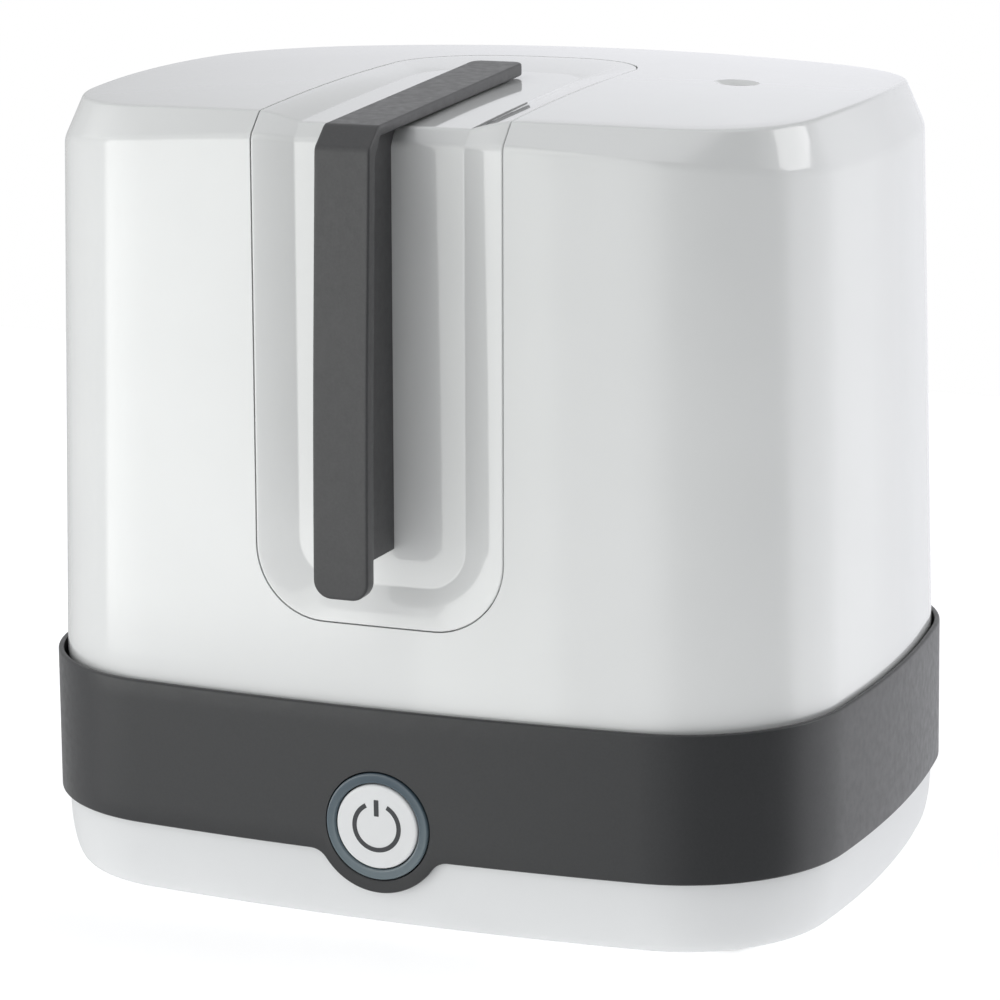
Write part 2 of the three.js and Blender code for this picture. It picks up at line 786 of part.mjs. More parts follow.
const controlBoard = { front: -88.8, back: -87.2, halfWidth: 29, bottom: 20, top: 49, screwX: 23 };
const ledPlaces = around(4, 11, Math.PI / 4);

function powerButton() {
  const r = button.capRadius;
  const f = button.front;
  const cap = turned([
    [0, f], [r - 1, f], [r, f + 1], [r, f + 7.4], [r - 1.6, f + 7.4], [r - 1.6, f + 2.2],
    [3, f + 2.2], [3, -94.55], [0, -94.55],
  ], 28, 'y');
  return cap.translate([0, 0, button.z]);
}

function lightRing() {
  const f = button.ringFront;
  const back = -104;
  const { ringInner: inner, ringOuter: outer } = button;
  const section = [
    [inner, f + 0.5], [inner + 0.7, f], [outer - 0.7, f], [outer, f + 0.5], [outer, back], [inner, back],
    [inner, f + 0.5],
  ];
  return turned(section, 28, 'y').translate([0, 0, button.z]);
}

/** The cup behind the cap: a sleeve, a rear wall with four lamp windows, and two ears with bosses. */
function buttonHousing() {
  const at = [0, 0, button.z];
  const [wallFront, wallBack] = [-97.5, -96];
  const sleeve = tube('y', 17.4, 14.85, -103.7, wallBack, at, 20);
  const wall = rod('y', 17.4, wallFront, wallBack, at, 20);
  const ears = box(-27, 27, wallFront, wallBack, button.z - 5, button.z + 5);
  const screwPlaces = [-controlBoard.screwX, controlBoard.screwX];
  const bosses = screwPlaces.map((x) => rod('y', 3, -96.5, controlBoard.front - gap, [x, 0, button.z], 14));
  const pilots = screwPlaces.map((x) => rod('y', pilotRadius, -94.5, -80, [x, 0, button.z], 8));
  const windows = ledPlaces.map(([x, z]) => rod('y', 2, -100, -90, [x, 0, button.z + z], 8));
  const stemHole = rod('y', 3.4, -100, -90, at, 12);
  return cut(joined(sleeve, wall, ears, ...bosses), stemHole, ...pilots, ...windows);
}

function circuitBoard() {
  const { front, back, halfWidth, bottom, top, screwX } = controlBoard;
  const holes = [-1, 1].map((side) => rod('y', pilotRadius, -95, -80, [side * screwX, 0, button.z], 12));
  return cut(box(-halfWidth, halfWidth, front, back, bottom, top), ...holes);
}

function switchBody() {
  const back = controlBoard.front - gap;
  return cut(
    box(-3.1, 3.1, back - 3.4, back, button.z - 3.1, button.z + 3.1),
    rod('y', 2.1, back - 5, back - 1, [0, 0, button.z], 14),
  );
}

const switchPlunger = () => rod('y', 1.7, -94.2, -91.9, [0, 0, button.z], 14);

function indicator([x, z]) {
  const back = controlBoard.front - gap;
  return turned([[0, back - 3.4], [0.9, back - 3.1], [1.5, back - 2.4], [1.5, back], [0, back]], 10, 'y')
    .translate([x, 0, button.z + z]);
}

const boardScrew = (side) =>
  screw('y', controlBoard.back + gap, 6, [side * controlBoard.screwX, 0, button.z], -1);

function mainsBoard() {
  const { x0, x1, y0, y1, bottom, top, screwX, screwY } = powerBoard;
  const holes = [-1, 1].map((side) => rod('z', pilotRadius, 0, 20, [side * screwX, screwY, 0], 12));
  return cut(box(x0, x1, y0, y1, bottom, top), ...holes);
}

const onBoard = powerBoard.top + gap;
const relay = () => box(-24, -5, 33, 48, onBoard, onBoard + 15);
const filterCapacitor = () => box(4, 22, 33, 41, onBoard, onBoard + 14);
const mainsScrew = (side) => screw('z', onBoard, 6, [side * powerBoard.screwX, powerBoard.screwY, 0], -1);

function terminalBlock() {
  const block = box(-18, 18, 55, 66, onBoard, onBoard + 12);
  const wells = [-12, 0, 12].map((x) => rod('z', 2.4, onBoard + 7, onBoard + 20, [x, 60.5, 0], 12));
  return cut(block, ...wells);
}

const heaterLead = (side) => {
  const route = [
    [12, 52.6, 16], [20, 51.6, 17], [32, 50, 22], [50, 30, 26], [56, 0, 26], [44, -30, 24],
    [24, -38, 22], [13, -38, 22.5], [10, -37.8, 27.5],
  ];
  return swept(route.map(([x, y, z]) => [side * x, y, z]), 1.5, 18);
};

const boardLead = () => swept([
  [31, 31, 13], [46, 10, 14], [48, -30, 14], [40, -66, 16], [24, -80, 22], [20, -84.5, 26],
], 2, 14);

// ---------------------------------------------------------------- basket and tray

const bottlePlaces = [-1, 0, 1].flatMap((column) =>
  [-1, 1].map((row) => [column * bottle.spacingX, (row * bottle.spacingY) / 2]));

/** The rack's plate, with a skirt that stands on the deck and an opening for each bottle's neck. */
function bottleBasket() {
  const outer = basket.inset;
  const inner = outer + basket.skirtWall;
  const profile = [
    [inner, basket.plateBottom], [inner, basket.skirtBottom], [outer, basket.skirtBottom],
    [outer, basket.plateTop],
  ];
  const plate = loft(levels(profile, bandOutline));
  const necks = bottlePlaces.map(([x, y]) => rod('z', bottle.neckRadius, 50, 70, [x, y, 0], 10));
  const slots = [-120, 120].flatMap((x) =>
    [-40, 0, 40].map((y) => box(x - 3, x + 3, y - 12, y + 12, 50, 70)));
  return cut(plate, ...necks, ...slots);
}

/** Straight walls between the bottles, with a hub in the middle that holds the tray's post. */
function bottleDivider() {
  const { bottom, top, halfWall, reachX, reachY, hubRadius } = divider;
  const long = box(-reachX, reachX, -halfWall, halfWall, bottom, top);
  const cross = [-0.5, 0.5].map((share) => {
    const x = share * bottle.spacingX;
    return box(x - halfWall, x + halfWall, -reachY, reachY, bottom, top);
  });
  const hub = rod('z', hubRadius, bottom, top, [0, 0, 0], 20);
  const bore = rod('z', tray.postRadius + gap, bottom - 1, top + 1, [0, 0, 0], 20);
  return cut(joined(long, ...cross, hub), bore);
}

const trayPost = () => rod('z', tray.postRadius, divider.bottom, tray.bottom - gap, [0, 0, 0], 20);

function accessoryTray() {
  const { inset, wall, bottom, floor, rimTop } = tray;
  const profile = [
    [inset + 1, bottom], [inset, bottom + 1], [inset, rimTop], [inset + wall, rimTop], [inset + wall, floor],
  ];
  const body = loft(levels(profile, bandOutline));
  const slots = [-1, 1].flatMap((side) =>
    [22, 44, 66, 88].map((x) => box(side * x - 2.5, side * x + 2.5, -56, 56, bottom - 5, floor + 5)));
  return cut(body, ...slots);
}

function trayKnob() {
  return turned([
    [0, tray.floor + 0.3], [8, tray.floor + 0.3], [8, tray.floor + 2], [4, tray.floor + 5], [4, 242],
    [8, 245], [9, 248], [7, 251], [0, 252],
  ], 20);
}

// ---------------------------------------------------------------- assembly

const body = new THREE.Group();
body.position.set(0, bodyShift, base.footDrop);

function add(name, shape, material) {
  const mesh = new THREE.Mesh(geometryOf(shape), material);
  mesh.name = name;
  body.add(mesh);
}

function addEach(name, places, make, material) {
  places.forEach((place, i) => add(`${name}_${i + 1}`, make(place), material));
}

add('base_shell', baseShell(), white);
add('bottom_cover', bottomCover(), greyPlastic);
add('base_band', baseBand(), greyBand);
add('base_deck', baseDeck(), white);
addEach('foot', corners(foot), rubberFoot, rubber);
addEach('cover_screw', corners(coverScrew), coverFixing, steel);
add('cord_bushing', cordBushing(), rubber);

add('heater_plate', heaterPlate(), steel);
add('heater_gasket', heaterGasket(), silicone);
add('heating_element', heatingElement(), steel);
add('heater_bracket', heaterBracket(), aluminium);
addEach('bracket_nut', studPlaces, bracketNut, steel);
add('thermostat', thermostat(), aluminium);
add('thermal_fuse', thermalFuse(), steel);

add('power_button', powerButton(), white);
add('light_ring', lightRing(), ringTint);
add('button_housing', buttonHousing(), blackPlastic);
add('control_board', circuitBoard(), boardGreen);
add('switch_body', switchBody(), blackPlastic);
add('switch_plunger', switchPlunger(), greyPlastic);
addEach('indicator', ledPlaces, indicator, clearLens);
addEach('board_screw', [-1, 1], boardScrew, steel);

add('mains_board', mainsBoard(), boardGreen);
add('relay', relay(), bluePlastic);
add('filter_capacitor', filterCapacitor(), blackPlastic);
add('terminal_block', terminalBlock(), greyPlastic);
addEach('mains_screw', [-1, 1], mainsScrew, steel);
addEach('heater_lead', [-1, 1], heaterLead, whiteSheath);
add('board_lead', boardLead(), whiteSheath);

add('hood_shell', hoodShell(), white);
add('handle_panel', handlePanel(), white);
add('handle_grip', handleGrip(), greySatin);
addEach('handle_screw', handleScrews, handleScrew, steel);

add('bottle_basket', bottleBasket(), greyPlastic);
add('bottle_divider', bottleDivider(), greyPlastic);
add('tray_post', trayPost(), greyPlastic);
add('accessory_tray', accessoryTray(), greyPlastic);
add('tray_knob', trayKnob(), greySatin);

export default body;
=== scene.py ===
"""Looks for the steam steriliser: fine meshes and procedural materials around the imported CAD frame.

Shapes are made in the body's own coordinates, in metres: x to the right, y to the back from the
middle of the base, z up from the underside of the base. new_object() puts them into the frame.
"""
import json
import math

import bmesh
import bpy
import numpy as np
from mathutils import Matrix, Vector
from mathutils.bvhtree import BVHTree
from mathutils.interpolate import poly_3d_calc


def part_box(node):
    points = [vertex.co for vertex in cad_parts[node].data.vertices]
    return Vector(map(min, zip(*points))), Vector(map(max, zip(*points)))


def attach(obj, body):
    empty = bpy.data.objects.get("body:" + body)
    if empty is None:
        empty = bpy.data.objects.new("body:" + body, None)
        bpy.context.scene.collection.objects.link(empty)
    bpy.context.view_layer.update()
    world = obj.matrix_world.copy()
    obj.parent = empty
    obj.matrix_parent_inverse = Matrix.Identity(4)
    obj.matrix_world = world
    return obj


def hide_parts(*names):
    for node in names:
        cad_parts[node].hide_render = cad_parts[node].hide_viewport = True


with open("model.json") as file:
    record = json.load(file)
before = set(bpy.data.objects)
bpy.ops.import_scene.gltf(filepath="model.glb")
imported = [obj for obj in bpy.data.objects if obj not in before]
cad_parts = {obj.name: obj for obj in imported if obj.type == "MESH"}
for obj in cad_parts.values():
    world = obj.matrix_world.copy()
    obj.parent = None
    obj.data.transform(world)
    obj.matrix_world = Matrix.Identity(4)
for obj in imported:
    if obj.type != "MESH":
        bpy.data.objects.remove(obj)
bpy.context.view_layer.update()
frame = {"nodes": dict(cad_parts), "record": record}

# ---------- sizes

MM = 0.001


def span(node):
    low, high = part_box(node)
    return np.array(low), np.array(high)


shell_low, shell_high = span("base_shell")
ORIGIN = np.array([0.0, (shell_low[1] + shell_high[1]) / 2, shell_low[2]])


def level(node, top):
    """The height of a CAD node's top or bottom over the base's underside."""
    return float(span(node)[1 if top else 0][2] - ORIGIN[2])


GAP = 0.35 * MM

BASE_INSET = 2.26 * MM
BASE_CURVE_IN = 4.7 * MM
BASE_CURVE_UP = 20.9 * MM
BASE_WALL = 2.5 * MM
BASE_TOP = level("base_shell", True)
BASE_OPENING_INSET = 29.3 * MM
BASE_LEDGE_INSET = 33 * MM
BASE_LEDGE = 3.1 * MM
BASE_FLOOR = 5.6 * MM
BASE_FLOOR_INSET = 9.4 * MM
BASE_WALL_FOOT = 22 * MM
BASE_RIM = 4 * MM
HALF_WIDTH = float(shell_high[0] - shell_low[0]) / 2 + BASE_INSET
HALF_DEPTH = float(shell_high[1] - shell_low[1]) / 2 + BASE_INSET

FRONT_BOW = 10.3 * MM
SIDE_BOW = 13 * MM
BAND_CORNER = 57.5 * MM
BAND_BOTTOM = 25 * MM
BAND_TOP = level("base_band", True)
BAND_FLARE = 0.4 * MM
BAND_WALL = 1.7 * MM
BAND_EDGE = 0.8 * MM

BUTTON_Z = 35.3 * MM
CAP_RADIUS = 14.4 * MM
CAP_FRONT = -110.4 * MM
CAP_DEPTH = 7.4 * MM
CAP_FACE = 2.2 * MM
CAP_WALL = 1.6 * MM
STEM_RADIUS = 3 * MM
RING_INNER = 14.8 * MM
RING_OUTER = 18.2 * MM
RING_FRONT = -110.3 * MM
RING_BACK = -104 * MM
BULGE_RADIUS = 23 * MM
BULGE_FILLET = 7 * MM

HOOD_BOTTOM = level("hood_shell", False)
HOOD_TOP = 270.4 * MM
HOOD_WALL = 2.5 * MM
HOOD_CORNER = 58.5 * MM
HOOD_FOOT_INSET = 2.5 * MM
HOOD_RIM_INSET = 2.35 * MM
HOOD_CREASE_INSET = 6.5 * MM
HOOD_TOP_INSET = 12.8 * MM
HOOD_TOP_BOW = 19.4 * MM
HOOD_TOP_SIDE_BOW = 12.4 * MM
HOOD_TOP_CORNER = 45.5 * MM
CREASE_Z = 257.5 * MM
CREASE_FALL_X = 9.9 * MM
CREASE_RISE_Y = 3.4 * MM
CROWN_X = 5.3 * MM
CROWN_Y = 4.1 * MM
MITRE = 0.42
CROWN_START = 0.93
CREASE_ROUNDING = 1.8 * MM
TOP_ROUNDING = 1.3 * MM

PANEL_HALF_WIDTH = 43.5 * MM
PANEL_BOTTOM = level("handle_panel", False) + 5 * MM
PANEL_BACK = 45 * MM
PANEL_CORNER = 24 * MM
PANEL_REAR_CORNER = 32 * MM
PANEL_DEPTH = 6.5 * MM
PANEL_FLANGE = 5 * MM
PANEL_SEAM = 0.35 * MM
FLOOR_HALF_WIDTH = 29.5 * MM
FLOOR_BOTTOM = 115.5 * MM
FLOOR_BACK = 12 * MM
FLOOR_CORNER = 14 * MM
TROUGH = 3.4 * MM
FLOOR_RISE = 1.4 * MM

GRIP_HALF_WIDTH = 9.5 * MM
GRIP_EDGE = 0.8 * MM
GRIP_END_CORNER = 6 * MM
GRIP_REAR_CORNER = 4 * MM
WEB_HALF_WIDTH = 4.75 * MM
WEB_BOTTOM = 128 * MM
WEB_BACK = -6 * MM
WEB_OVERLAP = 2.2 * MM

FOOT_X = 109.5 * MM
FOOT_Y = 77.5 * MM
FOOT_PLACES = [(-FOOT_X, -FOOT_Y), (FOOT_X, -FOOT_Y), (FOOT_X, FOOT_Y), (-FOOT_X, FOOT_Y)]
FOOT_RADIUS = 8 * MM
FOOT_POCKET = 1.2 * MM
BUSHING_X = -70 * MM
BUSHING_Z = 14 * MM
BUSHING_RADIUS = 4.9 * MM

VENT_X = 85 * MM
VENT_Y = 5 * MM
VENT_DISH = 7.5 * MM
VENT_HOLE = 4.2 * MM
VENT_DEPTH = 1.5 * MM

# ---------- mesh helpers


def length(vectors):
    return np.linalg.norm(vectors, axis=-1, keepdims=True)


def bend(t, start, corner, stop):
    """A point on the short curve from start to stop round a corner, at a share t of the way."""
    return (1 - t) ** 2 * start + 2 * t * (1 - t) * corner + t**2 * stop


def rounded(path, distances, steps=4, closed=False):
    """A path of points, or of whole rings, with each corner replaced by a short curve."""
    path = np.asarray(path, float)
    reach = np.broadcast_to(distances, len(path))
    result = []
    for k, corner in enumerate(path):
        if reach[k] == 0 or (not closed and k in (0, len(path) - 1)):
            result.append(corner)
            continue
        before = path[k - 1] - corner
        after = path[(k + 1) % len(path)] - corner
        start = corner + before * np.minimum(reach[k] / length(before), 0.5)
        stop = corner + after * np.minimum(reach[k] / length(after), 0.5)
        for t in np.linspace(0, 1, steps + 1):
            result.append(bend(t, start, corner, stop))
    return np.array(result)


def refined(path, longest):
    """The same path with points, or rings, added so that no step is much longer than `longest`."""
    result = [path[0]]
    for low, high in zip(path[:-1], path[1:]):
        steps = max(1, int(math.ceil(float(length(high - low).max()) / longest)))
        for share in np.linspace(0, 1, steps + 1)[1:]:
            result.append(low + (high - low) * share)
    return np.array(result)


def quads(rings, around, wrap=False):
    """Faces between rings of `around` points that are stored one after another."""
    faces = []
    for ring in range(rings if wrap else rings - 1):
        low = ring * around
        high = ((ring + 1) % rings) * around
        for i in range(around):
            j = (i + 1) % around
            faces.append((low + i, low + j, high + j, high + i))
    return faces


def loft(rings, wrap=False):
    """A closed mesh through rings of 3-D points; without wrap each end closes on a middle point."""
    rings = np.asarray(rings, float)
    count, around = rings.shape[:2]
    points = rings.reshape(-1, 3)
    faces = quads(count, around, wrap)
    if not wrap:
        middles = [rings[0].mean(axis=0), rings[-1].mean(axis=0)]
        points = np.vstack([points, middles])
        last = (count - 1) * around
        for i in range(around):
            j = (i + 1) % around
            faces.append((count * around, j, i))
            faces.append((count * around + 1, last + i, last + j))
    return points, faces


def lathe(profile, segments=96, axis="z", centre=(0, 0, 0)):
    """A solid of revolution from [radius, height] points; it closes on the axis or on itself."""
    profile = np.asarray(profile, float)
    on_axis = profile[0][0] < 1e-9
    angles = np.linspace(0, 2 * math.pi, segments, endpoint=False)
    rings = []
    for radius, height in profile:
        u = radius * np.cos(angles)
        v = radius * np.sin(angles)
        w = np.full(segments, height)
        rings.append(np.stack([u, v, w] if axis == "z" else [u, w, v], axis=1))
    rings = np.array(rings) + np.array(centre)
    return rings.reshape(-1, 3), quads(len(rings), segments, wrap=not on_axis)


def prism(outline, low, high, axis="y"):
    """A flat outline of [x, other] points carried along y or z between two levels."""
    outline = np.asarray(outline, float)
    rings = []
    for value in (low, high):
        w = np.full(len(outline), value)
        columns = [outline[:, 0], w, outline[:, 1]] if axis == "y" else [outline[:, 0], outline[:, 1], w]
        rings.append(np.stack(columns, axis=1))
    return loft(rings)


def arc(centre, radius, start, stop, steps):
    angles = np.radians(np.linspace(start, stop, steps + 1))
    return np.stack([centre[0] + radius * np.cos(angles), centre[1] + radius * np.sin(angles)], axis=1)


def linked(name, data):
    obj = bpy.data.objects.new(name, data)
    bpy.context.scene.collection.objects.link(obj)
    return obj


def new_object(name, points, faces):
    """A closed mesh object in the frame, with its faces turned outwards."""
    mesh = bpy.data.meshes.new(name)
    placed = np.asarray(points, float) + ORIGIN
    mesh.from_pydata(placed.tolist(), [], [tuple(map(int, f)) for f in faces])
    bm = bmesh.new()
    bm.from_mesh(mesh)
    bmesh.ops.remove_doubles(bm, verts=bm.verts, dist=1e-7)
    bmesh.ops.dissolve_degenerate(bm, edges=bm.edges, dist=1e-8)
    bmesh.ops.recalc_face_normals(bm, faces=bm.faces)
    bm.to_mesh(mesh)
    bm.free()
    return linked(name, mesh)


def shade(mesh, angle=30):
    mesh.shade_smooth()
    mesh.set_sharp_from_angle(angle=math.radians(angle))


def drop(obj):
    mesh = obj.data
    bpy.data.objects.remove(obj)
    bpy.data.meshes.remove(mesh)


def combine(obj, others, operation):
    """Applies exact booleans to obj and removes the other objects."""
    for other in others:
        modifier = obj.modifiers.new("combine", "BOOLEAN")
        modifier.operation = operation
        modifier.solver = "EXACT"
        modifier.object = other
        depsgraph = bpy.context.evaluated_depsgraph_get()
        result = bpy.data.meshes.new_from_object(obj.evaluated_get(depsgraph))
        obj.modifiers.clear()
        old = obj.data
        result.name = old.name
        obj.data = result
        bpy.data.meshes.remove(old)
        drop(other)
    return obj


class SmoothSource:
    """The surface normals of a mesh as it was before booleans cut it."""

    def __init__(self, mesh):
        self.corners = [v.co.copy() for v in mesh.vertices]
        self.faces = [tuple(p.vertices) for p in mesh.polygons]
        self.flat = [p.normal.copy() for p in mesh.polygons]
        normals = mesh.corner_normals
        self.smooth = [[normals[i].vector.copy() for i in p.loop_indices] for p in mesh.polygons]
        self.tree = BVHTree.FromPolygons(self.corners, self.faces)

    def at(self, point, facing):
        """The smooth normal at a point, or None where this surface isn't there or faces elsewhere."""
        place, _, index, distance = self.tree.find_nearest(point)
        if index is None or distance > 0.02 * MM or self.flat[index].dot(facing) < 0.9:
            return None
        weights = poly_3d_calc([self.corners[i] for i in self.faces[index]], place)
        total = Vector((0, 0, 0))
        for weight, normal in zip(weights, self.smooth[index]):
            total += normal * weight
        return total.normalized()


def keep_smoothness(obj, sources, angle=30):
    """Gives a cut mesh the normals of the surfaces that it was cut from."""
    mesh = obj.data
    shade(mesh, angle)
    normals = [n.vector.copy() for n in mesh.corner_normals]
    for polygon in mesh.polygons:
        middle = polygon.center
        for loop in polygon.loop_indices:
            point = mesh.vertices[mesh.loops[loop].vertex_index].co
            point = point.lerp(middle, 0.02)
            for source in sources:
                found = source.at(point, polygon.normal)
                if found is not None:
                    normals[loop] = found
                    break
    mesh.normals_split_custom_set(normals)


def cut(obj, cutters, angle=30):
    """Cuts holes in obj without disturbing the shading of the surface around them."""
    shade(obj.data, angle)
    source = SmoothSource(obj.data)
    combine(obj, cutters, "DIFFERENCE")
    keep_smoothness(obj, [source], angle)
    return obj


pieces = []


def piece(obj, body, slot, material, *nodes, angle=30):
    """Makes obj a visible piece of the object: its body, finish and the CAD nodes it stands for."""
    if not obj.data.has_custom_normals:
        shade(obj.data, angle)
    obj.data.materials.clear()
    obj.data.materials.append(material)
    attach(obj, body)
    if nodes:
        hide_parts(*nodes)
    pieces.append(obj)
    return obj


# ---------- bowed outlines


def pillow(a, b, front_bow, side_bow, corner, steps=(14, 26, 34)):
    """A rectangle with bowed sides and round corners that touch both bows, as [x, y] points."""
    front_radius = (a * a + front_bow**2) / (2 * front_bow)
    side_radius = (b * b + side_bow**2) / (2 * side_bow)
    front_centre = b - front_radius
    side_centre = a - side_radius
    low, high = 0.0, a
    for _ in range(60):
        middle = (low + high) / 2
        on_front = front_centre + math.sqrt((front_radius - corner) ** 2 - middle**2)
        on_side = math.sqrt(max((side_radius - corner) ** 2 - (middle - side_centre) ** 2, 0))
        if on_side > on_front:
            low = middle
        else:
            high = middle
    centre = (low, front_centre + math.sqrt((front_radius - corner) ** 2 - low**2))
    from_side = math.degrees(math.atan2(centre[1], centre[0] - side_centre))
    to_front = math.degrees(math.atan2(centre[1] - front_centre, centre[0]))
    side = arc((side_centre, 0), side_radius, 0, from_side, steps[0])[:-1]
    turn = arc(centre, corner, from_side, to_front, steps[1])
    front = arc((0, front_centre), front_radius, to_front, 90, steps[2])[1:-1]
    quarter = np.vstack([side, turn, front])
    mirrored = quarter[:0:-1] * (-1, 1)
    half = np.vstack([quarter, [(0, b)], mirrored])
    return np.vstack([half, -half])


def band_outline(inset, steps=(14, 26, 34)):
    a, b = HALF_WIDTH - inset, HALF_DEPTH - inset
    return pillow(a, b, FRONT_BOW, SIDE_BOW, BAND_CORNER - inset, steps)


def hood_outline(inset, skin=0.0):
    a, b = HALF_WIDTH - inset - skin, HALF_DEPTH - inset - skin
    return pillow(a, b, FRONT_BOW, SIDE_BOW, HOOD_CORNER - skin)


def hood_top_outline(inset, skin=0.0):
    a, b = HALF_WIDTH - inset - skin, HALF_DEPTH - inset - skin
    return pillow(a, b, HOOD_TOP_BOW, HOOD_TOP_SIDE_BOW, HOOD_TOP_CORNER - skin)


def at_level(outline, z):
    return np.column_stack([outline, np.broadcast_to(z, len(outline))])


def profile_rings(profile, outline):
    return [at_level(outline(inset), z) for inset, z in profile]


# ---------- hood surface


def crown(x, y):
    return HOOD_TOP - CROWN_X * (x / HALF_WIDTH) ** 2 - CROWN_Y * (y / HALF_DEPTH) ** 2


def lower_crease(x, y):
    return CREASE_Z - CREASE_FALL_X * (x / HALF_WIDTH) ** 2 + CREASE_RISE_Y * (y / HALF_DEPTH) ** 2


def bowed_front(inset, bow, x):
    """How far back the bowed front lies at x, for an outline set in by `inset`."""
    a = HALF_WIDTH - inset
    radius = (a * a + bow * bow) / (2 * bow)
    return inset - HALF_DEPTH + radius - np.sqrt(radius**2 - x**2)


def hood_skin(skin, bottom):
    """Rings of one of the hood's two skins, from the bottom edge to the middle of the crown."""
    crease = hood_outline(HOOD_CREASE_INSET, skin)
    top = hood_top_outline(HOOD_TOP_INSET, skin * MITRE)

    def shrunk(share):
        x, y = (top * share).T
        return np.column_stack([x, y, crown(x, y) - skin])

    corners = [
        at_level(hood_outline(HOOD_FOOT_INSET, skin), bottom),
        at_level(hood_outline(HOOD_RIM_INSET, skin), BAND_TOP),
        np.column_stack([crease, lower_crease(*crease.T) - skin * MITRE]),
        shrunk(1),
        shrunk(CROWN_START),
    ]
    wall = rounded(corners, [0, 0, CREASE_ROUNDING, TOP_ROUNDING, 0], steps=5)
    wall = refined(wall, longest=9 * MM)
    shares = CROWN_START * (1 - np.linspace(0, 1, 15)[1:])
    return np.vstack([wall, [shrunk(share) for share in shares]])


class FrontPath:
    """The hood's line up its front, over the chamfer and back over its top, at each x."""

    def __init__(self, x):
        self.x = x
        self.rim_y = bowed_front(HOOD_RIM_INSET, FRONT_BOW, x)
        self.crease_y = bowed_front(HOOD_CREASE_INSET, FRONT_BOW, x)
        self.crease_z = lower_crease(x, self.crease_y)
        self.top_y = bowed_front(HOOD_TOP_INSET, HOOD_TOP_BOW, x)
        self.top_z = crown(x, self.top_y)
        self.tilt = np.arctan2(self.top_y - self.crease_y, self.top_z - self.crease_z)

    def wall_y(self, z):
        share = (z - BAND_TOP) / (self.crease_z - BAND_TOP)
        return self.rim_y + (self.crease_y - self.rim_y) * share


MIDDLE = FrontPath(np.array(0.0))
FRONT_RUN = float(MIDDLE.crease_z) - PANEL_BOTTOM
CHAMFER_RUN = float(math.hypot(MIDDLE.top_y - MIDDLE.crease_y, MIDDLE.top_z - MIDDLE.crease_z))
TOP_RUN = PANEL_BACK - float(MIDDLE.top_y)
PANEL_RUN = FRONT_RUN + CHAMFER_RUN + TOP_RUN


def panel_point(x, run, depth):
    """The place at a distance `run` up the panel and `depth` below the hood's skin."""
    path = FrontPath(x)

    def on_wall(at):
        top = path.crease_z - depth * np.tan(path.tilt / 2)
        z = PANEL_BOTTOM + at / FRONT_RUN * (top - PANEL_BOTTOM)
        return np.stack([x, path.wall_y(z) + depth, z], axis=-1)

    def on_top(at):
        start = path.top_y + depth * np.tan((math.pi / 2 - path.tilt) / 2)
        share = (at - FRONT_RUN - CHAMFER_RUN) / TOP_RUN
        y = start + share * (PANEL_BACK - start)
        return np.stack([x, y, crown(x, y) - depth], axis=-1)

    def straight(at):
        share = np.clip((at - FRONT_RUN) / CHAMFER_RUN, 0, 1)[..., None]
        wall = on_wall(np.minimum(at, FRONT_RUN))
        top = on_top(np.maximum(at, FRONT_RUN + CHAMFER_RUN))
        crease = on_wall(np.full_like(at, FRONT_RUN))
        edge = on_top(np.full_like(at, FRONT_RUN + CHAMFER_RUN))
        slope = crease * (1 - share) + edge * share
        past_crease = (at > FRONT_RUN)[..., None]
        past_edge = (at > FRONT_RUN + CHAMFER_RUN)[..., None]
        return np.where(past_edge, top, np.where(past_crease, slope, wall))

    result = straight(run)
    for crease, reach in ((FRONT_RUN, CREASE_ROUNDING), (FRONT_RUN + CHAMFER_RUN, TOP_ROUNDING)):
        t = np.clip((run - crease + reach) / (2 * reach), 0, 1)[..., None]
        knots = [straight(np.full_like(run, crease + side * reach)) for side in (-1, 0, 1)]
        near = (np.abs(run - crease) < reach)[..., None]
        result = np.where(near, bend(t, *knots), result)
    return result


# ---------- strips that follow a path


def strip_loop(half_width, start, stop, corners, side_runs, corner_steps=14, end_steps=6):
    """A round-cornered outline of [x, run] points whose straight sides pass every side run."""
    start_corner, stop_corner = corners

    def end(tip, corner, direction):
        """From the right-hand side round one end to the left-hand side."""
        side = np.array([(half_width, tip - direction * corner)])
        turn = arc((0, 0), corner, 0, 90, corner_steps)
        turn = turn * (1, direction) + (half_width - corner, tip - direction * corner)
        across = np.linspace(half_width - corner, 0, end_steps + 1)[1:]
        flat = np.column_stack([across, np.full(end_steps, tip)])
        half = np.vstack([side, turn[1:], flat])
        return np.vstack([half, half[-2::-1] * (-1, 1)])

    right = np.column_stack([np.full(len(side_runs), half_width), side_runs])
    left = right[::-1] * (-1, 1)
    far = end(stop, stop_corner, 1)
    near = end(start, start_corner, -1)[::-1]
    return np.vstack([right, far, left, near])


def strip_mesh(loops, place):
    """A closed mesh from nested [x, run] loops with depths: its first and last loops are spines."""
    rings = [place(points[:, 0], points[:, 1], depth) for points, depth in loops]
    rings = np.array(rings)
    return rings.reshape(-1, 3), quads(len(rings), rings.shape[1])


def near_creases(creases, low, high, spread, coarse):
    """Runs between low and high, close together about each crease and coarse elsewhere."""
    runs = {low, high}
    for crease in creases:
        for step in np.linspace(-1, 1, 9):
            at = crease + step * spread
            if low < at < high:
                runs.add(float(at))
    runs = sorted(runs)
    result = [runs[0]]
    for value in runs[1:]:
        gap = value - result[-1]
        steps = max(1, int(math.ceil(gap / coarse)))
        result += list(np.linspace(result[-1], value, steps + 1)[1:])
    return np.array(result)


# ---------- hood pieces


